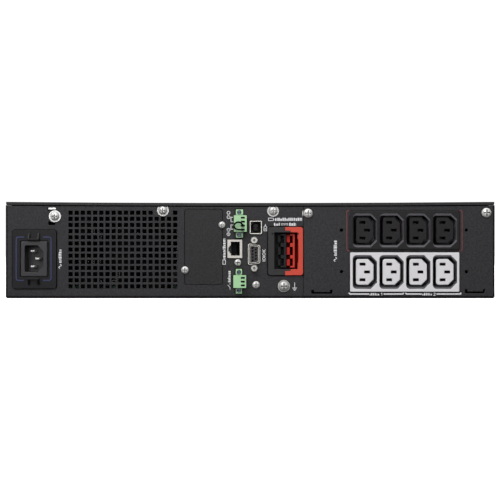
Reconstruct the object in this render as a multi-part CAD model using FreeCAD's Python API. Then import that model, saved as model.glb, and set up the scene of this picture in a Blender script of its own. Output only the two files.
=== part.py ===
# Rack-mount uninterruptible power supply, 2U high, built as separate named pieces (mm).
# +Z is up, +Y runs from the front bezel to the rear panel, +X is right when facing the front.
# Origin: centre of the four rack-ear slots, in the plane where the ears bear on the rack rails.
import FreeCAD, Part
import math
import os
from FreeCAD import Vector

os.makedirs("parts", exist_ok=True)

# ---------------------------------------------------------------- driving dimensions
HALF_W = 440.0 / 2          # case
LID_HALF_W = 438.0 / 2      # lid, stepped in 1 mm at each side
SHEET = 1.2                 # sheet steel
TOP_Z = 43.1
BOTTOM_Z = TOP_Z - 86.6     # 2U less working clearance
FLOOR_Z = BOTTOM_Z + SHEET
REAR_Y = 420.0              # outer face of the rear pans
REAR_IN = REAR_Y - SHEET
TRAY_Y = 404.0              # where the tray stops and the rear pans' flanges begin
SEAM_X = -47.8              # joint between rear panel and output panel
SEAM_GAP = 0.15             # clearance on each side of the joint
SAG = 1.0                   # bow of the wide lid at mid span
LIP_Z = 40.45               # lower edge of the lid's rear lip at its ends
LIP_Y0, LIP_Y1 = REAR_Y - 0.5, REAR_Y + 0.7
PAN_Z = 39.6                # upper edge of the rear pans at their ends
FLANGE_Z0, FLANGE_Z1 = 38.9, 40.1  # tray flanges under the lid
THROUGH = (410, 425)        # y range that cuts right through a rear pan

# Screws and studs
M4_HOLE, M4_SHANK = 2.05, 1.95
STUDS = [(x, y) for y in (30, 370) for x in (-2, 100, 204)]
LID_SCREWS = [(side * 212.0, y) for side in (-1, 1) for y in (50.0, 205.0, 360.0)]
EAR_SCREWS = [(y, z) for y in (12.0, 30.0) for z in (-27.0, 27.0)]
THUMBSCREWS = {"thumbscrew_left": (-211.0, 32.0), "thumbscrew_right": (-12.0, 32.0)}
# Rear M4 screws (x, z), from +X to -X
SCREW_INLET, SCREW_FAN, SCREW_PORTS = (175.2, 30.2), (78.35, 35.5), (-20.5, 34.9)
SCREW_SEAM, SCREW_EDGE = (-51.9, 32.9), (-211.9, 33.4)
GROUND = (-30.2, -32.4)
# Rear M3 screws (x, z): two in the slot cover, two in the signal board
COVER_SCREWS = [(58.53, -18.04), (25.32, 22.35)]
BOARD_SCREWS = [(11.13, -11.31), (-5.21, -31.33)]

# Rear outlines: x0, x1, z0, z1, corner radius
SLOT_RECESS = (24.46, 59.21, -31.65, 36.68, 2.9)
INLET_RECESS = (173.4, 213.7, -35.24, 18.18, 2.7)
INLET_OPENING = (180.9, 206.35, -24.6, 8.3, 1.2)
RECESS_GAP = 0.5            # clearance round a plate in its recess

# Fan
FAN_X, FAN_Z = 114.3, 0.0
FAN_HALF, FAN_Y0, FAN_Y1 = 40.0, 387.0, 412.0
FAN_BORE, FAN_TIP, FAN_HUB, FAN_BLADES = 38.4, 37.2, 18.0, 7


# ---------------------------------------------------------------- helpers
def box(x0, x1, y0, y1, z0, z1):
    """Box between opposite faces; each pair may come in either order."""
    x0, x1 = sorted((x0, x1))
    y0, y1 = sorted((y0, y1))
    z0, z1 = sorted((z0, z1))
    return Part.makeBox(x1 - x0, y1 - y0, z1 - z0, Vector(x0, y0, z0))


def cyl_y(x, z, radius, y0, y1):
    return Part.makeCylinder(radius, y1 - y0, Vector(x, y0, z), Vector(0, 1, 0))


def cyl_x(y, z, radius, x0, x1):
    return Part.makeCylinder(radius, x1 - x0, Vector(x0, y, z), Vector(1, 0, 0))


def cyl_z(x, y, radius, z0, z1):
    return Part.makeCylinder(radius, z1 - z0, Vector(x, y, z0), Vector(0, 0, 1))


def closed(points):
    return Part.makePolygon(points + [points[0]])


def wire_y(outline, y):
    """Closed wire through (x, z) points."""
    return closed([Vector(x, y, z) for x, z in outline])


def prism_y(outline, y0, y1):
    return Part.Face(wire_y(outline, y0)).extrude(Vector(0, y1 - y0, 0))


def prism_x(outline, x0, x1):
    """Prism along X from (y, z) points."""
    wire = closed([Vector(x0, y, z) for y, z in outline])
    return Part.Face(wire).extrude(Vector(x1 - x0, 0, 0))


def loft_y(outline0, y0, outline1, y1):
    return Part.makeLoft([wire_y(outline0, y0), wire_y(outline1, y1)], True, True)


def rounded_face(x0, x1, z0, z1, radius, y):
    """Rectangle in XZ with rounded corners."""
    mid = radius * (1 - math.sqrt(0.5))
    # start, middle and end of each corner arc
    corners = [
        ((x1 - radius, z0), (x1 - mid, z0 + mid), (x1, z0 + radius)),
        ((x1, z1 - radius), (x1 - mid, z1 - mid), (x1 - radius, z1)),
        ((x0 + radius, z1), (x0 + mid, z1 - mid), (x0, z1 - radius)),
        ((x0, z0 + radius), (x0 + mid, z0 + mid), (x0 + radius, z0)),
    ]
    edges = []
    last = Vector(x0 + radius, y, z0)
    for corner in corners:
        arc = [Vector(x, y, z) for x, z in corner]
        edges.append(Part.makeLine(last, arc[0]))
        edges.append(Part.Arc(*arc).toShape())
        last = arc[2]
    return Part.Face(Part.Wire(edges))


def rounded(x0, x1, z0, z1, radius, y0, y1):
    """Block along Y with four rounded long edges."""
    return rounded_face(x0, x1, z0, z1, radius, y0).extrude(Vector(0, y1 - y0, 0))


def inset(outline, gap):
    """Rounded outline (x0, x1, z0, z1, radius) shrunk all round by gap."""
    x0, x1, z0, z1, radius = outline
    return x0 + gap, x1 - gap, z0 + gap, z1 - gap, radius - gap


def ring_points(x, z, radii, count):
    """Points round a circle in XZ, taking the radii in turn."""
    points = []
    for k in range(count):
        angle = math.radians(360 / count * k)
        radius = radii[k % len(radii)]
        points.append((x + radius * math.cos(angle), z + radius * math.sin(angle)))
    return points


def iec_outline(xc, zc, width, height, chamfer, radius):
    """IEC outline: chamfered on the -X side, rounded on the +X side."""
    left, right = xc - width / 2, xc + width / 2
    low, high = zc - height / 2, zc + height / 2
    points = [(left, low + chamfer), (left, high - chamfer), (left + chamfer, high)]
    for z, first in ((high - radius, 90), (low + radius, 0)):
        for i in range(5):
            angle = math.radians(first - 22.5 * i)
            points.append((right - radius + radius * math.cos(angle),
                           z + radius * math.sin(angle)))
    points.append((left + chamfer, low))
    return points


def fuse(parts):
    return parts[0].multiFuse(parts[1:]).removeSplitter()


def lies_on(edge, axis, value):
    """True if every end of the edge has this coordinate."""
    return all(abs(getattr(v, axis) - value) < 1e-6 for v in edge.Vertexes)


def pipe(points, radius):
    """Round wire swept along a smooth curve through the points."""
    curve = Part.BSplineCurve()
    curve.interpolate([Vector(*p) for p in points])
    path = Part.Wire([curve.toShape()])
    tangent = curve.tangent(curve.FirstParameter)[0]
    profile = Part.Wire([Part.makeCircle(radius, Vector(*points[0]), tangent)])
    swept = path.makePipeShell([profile], True, True)
    return swept if swept.ShapeType == "Solid" else Part.Solid(swept)


def stand(shape, position, direction):
    """Copy of a shape moved to position, its Z axis turned to direction."""
    shape = shape.copy()
    turn = FreeCAD.Rotation(Vector(0, 0, 1), Vector(*direction))
    shape.Placement = FreeCAD.Placement(Vector(*position), turn)
    return shape


def cross_boxes(reach, width, height, z):
    """Two crossed boxes that cut a screw's driving recess."""
    boxes = []
    for angle in (0, 90):
        bar = Part.makeBox(2 * reach, width, height, Vector(-reach, -width / 2, z))
        bar.rotate(Vector(0, 0, 0), Vector(0, 0, 1), angle)
        boxes.append(bar)
    return boxes


def pan_screw(head_r, head_h, shank_r, shank_l, washer_r=0.0, washer_t=0.0):
    """Pan-head screw standing on z=0, shank down, with an optional captive washer."""
    base, top = washer_t, washer_t + head_h
    shoulder = Vector(head_r, 0, base + head_h * 0.42)
    dome = Vector(head_r * 0.78, 0, base + head_h * 0.86)
    profile = [
        Part.makeLine(Vector(0, 0, base), Vector(head_r, 0, base)),
        Part.makeLine(Vector(head_r, 0, base), shoulder),
        Part.Arc(shoulder, dome, Vector(0, 0, top)).toShape(),
        Part.makeLine(Vector(0, 0, top), Vector(0, 0, base)),
    ]
    head = Part.Face(Part.Wire(profile)).revolve(Vector(0, 0, 0), Vector(0, 0, 1), 360)
    bits = [head, Part.makeCylinder(shank_r, shank_l + base, Vector(0, 0, -shank_l))]
    if washer_r:
        bits.append(Part.makeCylinder(washer_r, washer_t, Vector(0, 0, 0)))
    width, depth = head_r * 0.26, head_h * 0.72
    tools = cross_boxes(head_r * 0.66, width, depth + 1, top - depth)
    tools.append(Part.makeCone(0.2, width * 1.35, depth, Vector(0, 0, top - depth)))
    return fuse(bits).cut(tools)


def csk_screw(head_r, head_h, shank_r, shank_l):
    """Countersunk screw, head top at z=0, shank down."""
    screw = fuse([Part.makeCone(shank_r, head_r, head_h, Vector(0, 0, -head_h)),
                  Part.makeCylinder(shank_r, shank_l, Vector(0, 0, -shank_l))])
    return screw.cut(cross_boxes(head_r * 0.6, head_r * 0.24, 2.2, -1.2))


def save(name, shapes):
    if not isinstance(shapes, (list, tuple)):
        shapes = [shapes]
    solids = [solid for shape in shapes for solid in shape.Solids]
    out = solids[0] if len(solids) == 1 else Part.makeCompound(solids)
    out.exportStep("parts/%s.step" % name)


# ---------------------------------------------------------------- case
def chassis_base():
    """Tray: floor, sides, front wall, partitions and board studs."""
    outer = rounded_face(-HALF_W, HALF_W, BOTTOM_Z, 90, 1.8, 0)
    inner = rounded_face(-HALF_W + SHEET, HALF_W - SHEET, FLOOR_Z, 95, 0.6, 0)
    trough = outer.cut(inner).extrude(Vector(0, TRAY_Y, 0))
    bits = [trough.cut(box(-300, 300, -5, 500, FLANGE_Z1, 120))]
    for side in (-1, 1):
        # flange under the lid, then the tongue inside the rear pan's side
        bits.append(box(side * 206, side * (HALF_W - 0.4), 0, TRAY_Y, FLANGE_Z0, FLANGE_Z1))
        bits.append(box(side * (HALF_W - 2 * SHEET), side * (HALF_W - SHEET),
                        388, 417.2, -30, FLANGE_Z0))
    bits.append(box(-HALF_W + SHEET, -205, 416.0, 417.2, 27, FLANGE_Z0))
    # floor tongues
    for x0, x1 in ((140, 172), (-12, 16), (-96, -66), (-182, -152)):
        bits.append(box(x0, x1, 390, 414, FLOOR_Z, FLOOR_Z + SHEET))
    # front walls, lengthwise partition, cross wall behind the batteries
    bits.append(box(-HALF_W + SHEET, -204, 0, SHEET, 26, FLANGE_Z0))
    bits.append(box(-16, HALF_W - SHEET, 0, SHEET, FLOOR_Z, FLANGE_Z0))
    bits.append(box(-16, -16 + SHEET, 0, 330, FLOOR_Z, FLANGE_Z0))
    bits.append(box(-HALF_W + SHEET, -16 + SHEET, 330, 330 + SHEET, FLOOR_Z, 36))
    for x, y in STUDS:
        bits.append(cyl_z(x, y, 3.2, FLOOR_Z, BOARD_Z0))
        bits.append(cyl_z(x, y, 1.5, -35.7, -31.0))
    holes = [cyl_z(x, y, M4_HOLE, 30, 41) for x, y in LID_SCREWS]
    for x0, x1 in ((-225, -210), (210, 225)):
        holes += [cyl_x(y, z, M4_HOLE, x0, x1) for y, z in EAR_SCREWS]
    holes += [cyl_y(x, z, 2.0, -1, 3) for x, z in THUMBSCREWS.values()]
    holes.append(cyl_y(*SCREW_EDGE, M4_HOLE, 410, 419))
    holes.append(cyl_y(66, 0, 7.0, -1, 3))  # display cable
    # intake slots behind the bezel vents
    for i in range(8):
        z = -30 + i * 7.5
        holes += [box(x0, x0 + 32, -1, 3, z - 1.8, z + 1.8) for x0 in (140, 178)]
    return fuse(bits).cut(holes)


def arc_band(end_z, thick, sag):
    """Face across the lid, lower at mid span by sag."""
    def arc_ends(z):
        return Vector(-LID_HALF_W, 0, z), Vector(0, 0, z - sag), Vector(LID_HALF_W, 0, z)
    left, mid, right = arc_ends(end_z)
    low_left, low_mid, low_right = arc_ends(end_z - thick)
    return Part.Face(Part.Wire([
        Part.Arc(left, mid, right).toShape(), Part.makeLine(right, low_right),
        Part.Arc(low_right, low_mid, low_left).toShape(), Part.makeLine(low_left, left)]))


def top_cover():
    plate = arc_band(TOP_Z, SHEET, SAG).extrude(Vector(0, LIP_Y1, 0))
    lip = arc_band(TOP_Z, TOP_Z - LIP_Z, SAG).extrude(Vector(0, SHEET, 0))
    lip.translate(Vector(0, LIP_Y0, 0))
    for side in (-1, 1):
        outer_x, notch_x = side * (LID_HALF_W + 1), side * (LID_HALF_W - 1.1)
        notch = [(outer_x, LIP_Z - 3), (outer_x, LIP_Z + 1.0), (side * LID_HALF_W, LIP_Z + 1.0),
                 (notch_x, LIP_Z - 0.4), (notch_x, LIP_Z - 3)]
        lip = lip.cut(prism_y(notch, LIP_Y0 - 1, LIP_Y1 + 1))
    front_lip = arc_band(TOP_Z, TOP_Z - 40.2, 0.6).extrude(Vector(0, SHEET, 0))
    lid = [plate, lip, front_lip]
    for side in (-1, 1):
        lid.append(box(side * (LID_HALF_W - SHEET), side * LID_HALF_W,
                       0, LIP_Y0 + 0.1, LIP_Z, TOP_Z - 0.5))
    lid += [cyl_z(x, y, 5.2, 40.15, 42.2) for x, y in LID_SCREWS]
    # countersunk screw holes
    holes = []
    for x, y in LID_SCREWS:
        holes.append(cyl_z(x, y, 2.15, 38, 44))
        holes.append(Part.makeCone(2.15, 4.15, 2.0, Vector(x, y, 40.95)))
        holes.append(cyl_z(x, y, 4.15, 42.95, 44))
    return fuse(lid).cut(holes)


# ---------------------------------------------------------------- rear pans
GRID_X0, GRID_Z0 = 161.27, 33.30        # first ventilation hole
GRID_PITCH_X, GRID_PITCH_Z = 5.526, 5.513
GRID_COLUMNS, GRID_ROWS, GRID_HALF = 18, 13, 3.75 / 2
GUARD_X, GUARD_Z = (-81.96, -194.12), (17.75, -19.65)  # small holes beside the outlets
# Rear panel openings: x0, x1, z0, z1, corner radius, y where the cut starts
PANEL_OPENINGS = [
    (*INLET_OPENING, 410),
    (173.5, 182.0, 35.2, 38.2, 0.8, 410), (175.0, 181.3, 22.3, 25.6, 0.9, 410),
    (*SLOT_RECESS, REAR_IN), (28.5, 55.2, -28, 33, 2, 410), (*INLET_RECESS, REAR_IN),
    (5.9, 13.7, 10.4, 36.9, 0.8, 410), (6.7, 13.7, -39.6, -16.5, 0.8, 410),
    (6.8, 20.8, -7.7, 9.6, 0.6, 410), (-10.9, 0.8, 13.9, 26.5, 0.6, 410),
]
# Slots for cable ties: x0, x1, z0, z1, slant of one lower corner
TIE_SLOTS = [(-74.0, -54.9, -39.4, -35.9, 0.6), (-211.4, -192.8, -38.9, -35.3, 1.6)]


def pan(x0, x1, side):
    """Rear pan with a bottom flange and one side flange, at x1 if side is 1, x0 if -1."""
    top = 40.35
    seam_x, side_x = (x0, x1) if side > 0 else (x1, x0)
    body = box(x0, x1, TRAY_Y + 0.3, REAR_Y, BOTTOM_Z, top)
    body = body.makeFillet(1.8, [e for e in body.Edges if lies_on(e, "Z", BOTTOM_Z)
                                 and lies_on(e, "X", side_x)])
    body = body.makeFillet(2.6, [e for e in body.Edges if lies_on(e, "Y", REAR_Y)
                                 and not lies_on(e, "Z", top)
                                 and not lies_on(e, "X", seam_x)])
    inner_x = side_x - side * SHEET
    cavity = box(seam_x - side * 5, inner_x, TRAY_Y - 5, REAR_IN, FLOOR_Z, top + 5)
    cavity = cavity.makeFillet(1.4, [e for e in cavity.Edges if lies_on(e, "Y", REAR_IN)
                                     and (lies_on(e, "X", inner_x)
                                          or lies_on(e, "Z", FLOOR_Z))])
    # the upper edge bows with the lid
    y = REAR_Y - 3
    left, mid, right = Vector(-HALF_W, y, PAN_Z), Vector(0, y, PAN_Z - SAG), Vector(HALF_W, y, PAN_Z)
    high_left, high_right = Vector(-HALF_W, y, 60), Vector(HALF_W, y, 60)
    above = Part.Face(Part.Wire([
        Part.Arc(left, mid, right).toShape(), Part.makeLine(right, high_right),
        Part.makeLine(high_right, high_left), Part.makeLine(high_left, left),
    ])).extrude(Vector(0, 14, 0))
    return body.cut(cavity).cut(above)


def rear_panel():
    """Pan on the +X side, with fan grid, inlet, ports and battery socket."""
    seam = SEAM_X + SEAM_GAP
    panel = fuse([
        pan(seam, HALF_W, +1),
        # tabs behind the output panel, and their joggles
        box(-64, SEAM_X, 417.4, 418.6, 22, 38), box(-64, SEAM_X, 417.4, 418.6, -36.2, -24.5),
        box(seam, -45.5, 417.4, 419.2, 22, 38), box(seam, -45.5, 417.4, 419.2, -37, -24.5),
        # sheet backing the two recesses
        rounded(22.0, 61.7, -34.2, 38.3, 3, 417.7, 418.9),
        rounded(171.2, 215.6, -37.4, 20.4, 3, 417.7, 418.9)])
    holes = []
    for i in range(GRID_COLUMNS):
        for j in range(GRID_ROWS):
            if j == 0 and i in (14, 15, 16):
                continue  # room for a screw
            x, z = GRID_X0 - i * GRID_PITCH_X, GRID_Z0 - j * GRID_PITCH_Z
            holes.append(box(x - GRID_HALF, x + GRID_HALF, 417, 421,
                             z - GRID_HALF, z + GRID_HALF))
    holes += [rounded(*opening, 425) for opening in PANEL_OPENINGS]
    holes.append(serial_prism(11.6, 20.2, 1.9, *THROUGH))
    holes += [cyl_y(x, z, 1.75, *THROUGH) for x, z in JACKSCREWS]
    holes.append(rounded(-49, -15.2, -23.4, 21.1, 2.6, *THROUGH))
    for x, z in (SCREW_INLET, SCREW_FAN, SCREW_PORTS, GROUND, SCREW_SEAM):
        holes.append(cyl_y(x, z, M4_HOLE, *THROUGH))
    holes += [cyl_y(x, z, 1.55, *THROUGH) for x, z in COVER_SCREWS + BOARD_SCREWS]
    return panel.cut(holes)


def output_panel():
    """Pan on the -X side, with the outlets."""
    holes = [rounded(-188.0, -89.0, -0.2, 35.25, 1.3, *THROUGH),
             rounded(-187.9, -89.15, -37.9, -1.8, 1.2, *THROUGH)]
    holes += [cyl_y(x, z, M4_HOLE, *THROUGH) for x, z in (SCREW_SEAM, SCREW_EDGE)]
    for x0, x1, z0, z1, slant in TIE_SLOTS:
        holes.append(prism_y([(x0 + slant, z0), (x1, z0), (x1, z1), (x0, z1)], *THROUGH))
    holes += [cyl_y(x, z, 1.5, *THROUGH) for x in GUARD_X for z in GUARD_Z]
    panel = pan(-HALF_W, SEAM_X - SEAM_GAP, -1).cut(holes)
    # a tongue hangs from each slot's upper edge, leaving a U
    return fuse([panel] + [box(x0 + 2.3, x1 - 2.3, REAR_IN, REAR_Y, z0 + 1.5, z1 + 0.1)
                           for x0, x1, z0, z1, _ in TIE_SLOTS])


def slot_cover():
    plate = rounded(*inset(SLOT_RECESS, RECESS_GAP), REAR_IN, REAR_Y + 0.1)
    return plate.cut([cyl_y(x, z, 1.7, 415, 425) for x, z in COVER_SCREWS])


# ---------------------------------------------------------------- ac inlet
INLET_X, INLET_Z = 193.55, -7.9
INLET_PINS = [(INLET_X + 2.2, INLET_Z + 7.0), (INLET_X + 2.2, INLET_Z - 7.0),
              (INLET_X - 2.0, INLET_Z)]


def inlet_plate():
    """Plate round the inlet, with a bail above and below."""
    bits = [rounded(*inset(INLET_RECESS, RECESS_GAP), REAR_IN, REAR_Y + 1.3)]
    for up, z in ((1, 8.7), (-1, -25.0)):
        leg = [(REAR_Y + 1.0, z + up * 6.2), (REAR_Y + 1.0, z + up * 4.4), (REAR_Y + 3.6, z),
               (REAR_Y + 5.0, z), (REAR_Y + 5.0, z + up * 1.5), (REAR_Y + 2.4, z + up * 6.2)]
        bits += [prism_x(leg, x, x + 1.5) for x in (188.9, 197.4)]
        bits.append(box(188.9, 198.9, REAR_Y + 3.4, REAR_Y + 5.0, z, z + up * 1.5))
    return fuse(bits).cut([rounded(*INLET_OPENING, 410, 422.0)])


def inlet_housing():
    housing = fuse([rounded(181.65, 205.6, -23.85, 7.55, 0.9, 398, REAR_Y + 2.0),
                    rounded(182.1, 205.15, -23.4, 7.1, 0.7, REAR_Y + 1.9, REAR_Y + 2.5),
                    box(178.5, 208.8, 414.8, 417.6, -27, 10.8)])
    cavity = iec_outline(INLET_X, INLET_Z, 16.8, 24.0, 5.4, 1.6)
    housing = housing.cut([prism_y(cavity, 406.0, 425)])
    for x, z in INLET_PINS:
        housing = housing.cut([box(x - 2.02, x + 2.02, 396, 407, z - 1.02, z + 1.02)])
    return housing


def inlet_pins():
    def blade(x, z, half_x, half_z):
        return [(x - half_x, z - half_z), (x + half_x, z - half_z),
                (x + half_x, z + half_z), (x - half_x, z + half_z)]
    pins = []
    for x, z in INLET_PINS:
        tip = loft_y(blade(x, z, 2, 1), 417.0, blade(x, z, 1.5, 0.45), 418.6)
        pins.append(fuse([box(x - 2, x + 2, 390, 417.0, z - 1, z + 1), tip]))
    return pins


# ---------------------------------------------------------------- outlets
OUTLET_XS = [-102.75 - k * 23.94 for k in range(4)]
UPPER_Z, LOWER_Z = 17.5, -19.84
OUTLET_SLOTS = ((2.05, 7.0), (2.05, -7.0), (-2.05, 0.0))  # offsets from an outlet's centre


def outlet_block(zc, front, core, flange_z):
    """Row of four outlets; front and core are x0, x1, z0, z1."""
    x0, x1, z0, z1 = front
    block = fuse([rounded(x0, x1, z0, z1, 0.9, 417.0, REAR_Y + 1.2),
                  box(core[0], core[1], 402.4, 417.1, core[2], core[3]),
                  box(x0 - 2.2, x1 + 2.2, 416.4, REAR_IN, *flange_z)])
    tools, bosses = [], []
    for xc in OUTLET_XS:
        mouth = iec_outline(xc, zc, 21.8, 30.3, 5.6, 3.6)
        well = iec_outline(xc, zc, 20.6, 26.6, 4.9, 2.6)
        tools.append(loft_y(mouth, REAR_Y + 1.2, well, REAR_Y - 0.2))
        tools.append(prism_y(mouth, REAR_Y + 1.19, REAR_Y + 3))
        tools.append(prism_y(well, 405.2, REAR_Y - 0.19))
        root = iec_outline(xc, zc, 15.8, 23.2, 4.9, 2.4)
        tip = iec_outline(xc, zc, 15.0, 22.4, 4.7, 2.1)
        boss = fuse([prism_y(root, 402.4, REAR_Y + 0.4),
                     loft_y(root, REAR_Y + 0.4, tip, REAR_Y + 0.9)])
        bosses.append(boss.cut([box(xc + dx - 2.6, xc + dx + 2.6, 403.6, REAR_Y + 3,
                                    zc + dz - 1.3, zc + dz + 1.3)
                                for dx, dz in OUTLET_SLOTS]))
    return fuse([block.cut(tools)] + bosses)


def outlet_block_dark():
    return outlet_block(UPPER_Z, (-187.5, -89.5, 0.3, 34.75), (-186.3, -90.7, 1.5, 33.5),
                        (1.8, 36.95))


def outlet_block_light():
    return outlet_block(LOWER_Z, (-187.45, -89.6, -37.45, -2.25), (-186.2, -90.8, -36.2, -3.5),
                        (-39.65, -3.75))


def outlet_contacts():
    return [box(xc + dx - 2.3, xc + dx + 2.3, 405.25, 415.0,
                zc + dz + leaf * 0.8, zc + dz + leaf * 1.2)
            for zc in (UPPER_Z, LOWER_Z) for xc in OUTLET_XS
            for dx, dz in OUTLET_SLOTS for leaf in (-1, 1)]


# ---------------------------------------------------------------- battery expansion socket
def comb(bar_x0, bar_x1, tip_x, tooth_x0, tooth_x1):
    """Upright bar with four ribs, and three blocks beyond them."""
    y0, y1 = 406.5, 417.2
    bits = [box(bar_x0, bar_x1, y0, y1, -15.9, 14.3)]
    for z0, z1 in ((12.7, 14.3), (2.7, 6.1), (-7.7, -4.7), (-15.9, -14.4)):
        bits.append(box(bar_x1 - 0.1, tip_x, y0, y1, z0, z1))
    for z0, z1 in ((6.5, 13.5), (-4.7, 2.7), (-14.5, -8.1)):
        bits.append(box(tooth_x0, tooth_x1, y0, y1 - 0.8, z0 + 0.3, z1 - 0.3))
    return bits


def battery_socket():
    """Black and red halves of the socket."""
    ring = fuse([rounded(-47.3, -15.95, -22.7, 20.5, 2.2, 415.0, REAR_Y + 1.4),
                 box(-47.4, -12.8, 415.0, 417.6, -22.5, 20.2)])
    cavities = [box(-42.5, -21.7, 400, 430, -17.3, 15.7),
                box(-43.6, -19.5, 419.0, 430, 13.5, 15.0),
                box(-43.2, -42.4, 410, 430, -11.5, 9.5)]
    inner = box(-45.2, -17.8, 405, REAR_Y + 0.1, -20.7, 18.4)
    whole = fuse([ring, inner]).cut(cavities)
    red_zone = fuse([box(-60, -31.35, 400, 430, 17.25, 40),
                     box(-60, -31.35, 400, 430, -40, -18.9),
                     box(-60, -36.2, 400, 430, -18.95, 17.3)])
    black = whole.cut(red_zone)
    red = whole.common(red_zone)
    black = fuse([black, box(-32.7, -21.6, 405, 406.6, -17.4, 15.8)]
                 + comb(-32.5, -30.25, -27.4, -27.2, -24.9))
    red = fuse([red, box(-42.6, -32.72, 405, 406.6, -17.2, 15.6)]
               + comb(-40.1, -38.4, -35.9, -35.7, -32.9))
    return black.cut(red), red


def battery_socket_contacts():
    return [box(x0, x0 + 0.5, 406.65, 410.6, z0, z1) for x0 in (-27.75, -36.25)
            for z0, z1 in ((7.3, 12.0), (-3.6, 1.6), (-13.4, -9.0))]


# ---------------------------------------------------------------- signal ports
PCB_Y0, PCB_Y1 = 403.8, 405.4
SERIAL_X, SERIAL_Z = -3.5, -3.9
JACKSCREWS = [(-3.6, SERIAL_Z + 12.5), (-3.6, SERIAL_Z - 12.5)]
SERIAL_PITCH = 2.77
SERIAL_PINS = ([(-2.25, SERIAL_Z + SERIAL_PITCH * k) for k in (-2, -1, 0, 1, 2)]
               + [(-5.1, SERIAL_Z + SERIAL_PITCH * k) for k in (-1.5, -0.5, 0.5, 1.5)])


def serial_prism(width, height, radius, y0, y1):
    """D outline at the serial port: long side on +X, slanted short ends."""
    slant = 0.16 * width
    x0, x1 = SERIAL_X - width / 2, SERIAL_X + width / 2
    z0, z1 = SERIAL_Z - height / 2, SERIAL_Z + height / 2
    body = prism_y([(x1, z0), (x1, z1), (x0, z1 - slant), (x0, z0 + slant)], y0, y1)
    along_y = [e for e in body.Edges if abs(e.Vertexes[0].X - e.Vertexes[1].X) < 1e-6
               and abs(e.Vertexes[0].Z - e.Vertexes[1].Z) < 1e-6]
    return body.makeFillet(radius, along_y)


def jack_opening():
    notch = fuse([box(17.2, 18.5, 405, 425, -2.9, 3.9), box(18.4, 19.6, 405, 425, -1.5, 2.5)])
    return fuse([box(9.3, 17.4, 407.5, 425, -5.05, 7.35), notch])


def data_jack_shell():
    shell = rounded(7.2, 20.4, -7.3, 9.2, 0.5, PCB_Y1, REAR_Y + 1.0)
    return shell.cut([box(8.0, 20.0, 400, REAR_Y + 0.2, -6.6, 8.5), jack_opening()])


def data_jack_insert():
    return box(8.05, 19.95, PCB_Y1, REAR_Y + 0.15, -6.55, 8.45).cut([jack_opening()])


def usb_shell():
    shell = rounded(-10.4, 0.3, 14.35, 26.0, 0.9, PCB_Y1, REAR_Y + 1.6)
    return shell.cut([box(-9.85, -0.25, 400, 430, 14.9, 25.45)])


def usb_insert():
    mouth = [(-8.9, 15.9), (-8.9, 24.5), (-3.3, 24.5), (-1.2, 22.4), (-1.2, 18.0), (-3.3, 15.9)]
    insert = box(-9.8, -0.3, PCB_Y1, REAR_Y + 0.9, 14.95, 25.4).cut([prism_y(mouth, 408, 430)])
    return fuse([insert, box(-6.6, -3.2, 407.9, REAR_Y - 0.4, 17.1, 23.3)])


def serial_shell():
    bore = serial_prism(7.4, 15.8, 1.1, 410, 430)
    collar = serial_prism(10.9, 19.5, 1.8, 416.2, REAR_Y + 1.2).cut(
        [serial_prism(9.8, 18.4, 1.5, 410, 430)])
    tube = serial_prism(8.1, 16.5, 1.3, 415.2, REAR_Y + 3.2).cut([bore])
    flange = box(-8.4, 1.2, 415.2, 416.3, -20.0, 12.2).cut(
        [bore] + [cyl_y(x, z, 1.6, 410, 430) for x, z in JACKSCREWS])
    return fuse([collar, tube, flange])


def serial_insert():
    return serial_prism(7.24, 15.64, 1.08, PCB_Y1, REAR_Y + 2.4).cut(
        [cyl_y(x, z, 0.66, 408, 430) for x, z in SERIAL_PINS]
        + [cyl_y(x, z, 0.95, REAR_Y + 1.2, 430) for x, z in SERIAL_PINS])


def serial_jackscrews():
    screws = []
    for x, z in JACKSCREWS:
        screw = fuse([prism_y(ring_points(x, z, (2.9,), 6), REAR_Y + 0.6, REAR_Y + 5.4),
                      prism_y(ring_points(x, z, (2.85, 3.3), 24), REAR_Y, REAR_Y + 0.7),
                      cyl_y(x, z, 1.5, 413.0, REAR_Y + 1)])
        screws.append(screw.cut([cyl_y(x, z, 1.1, REAR_Y - 3, REAR_Y + 6)]))
    return screws


def port_contacts():
    contacts = []
    # slanted data jack wires, points (x, y)
    slope = [(9.35, 418.5), (12.2, 408.2), (12.6, 408.2), (9.75, 418.5)]
    for k in range(8):
        z = 1.15 + (k - 3.5) * 1.02 - 0.2
        face = Part.Face(closed([Vector(x, y, z) for x, y in slope]))
        contacts.append(face.extrude(Vector(0, 0, 0.4)))
    # USB strips, then serial sleeves
    for x0 in (-3.15, -7.0):
        contacts += [box(x0, x0 + 0.35, 408.1, 418.6, z, z + 1.1) for z in (18.3, 21.0)]
    for x, z in SERIAL_PINS:
        contacts.append(cyl_y(x, z, 0.58, 408.2, 418.2).cut([cyl_y(x, z, 0.38, 410, 419)]))
    return contacts


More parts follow.
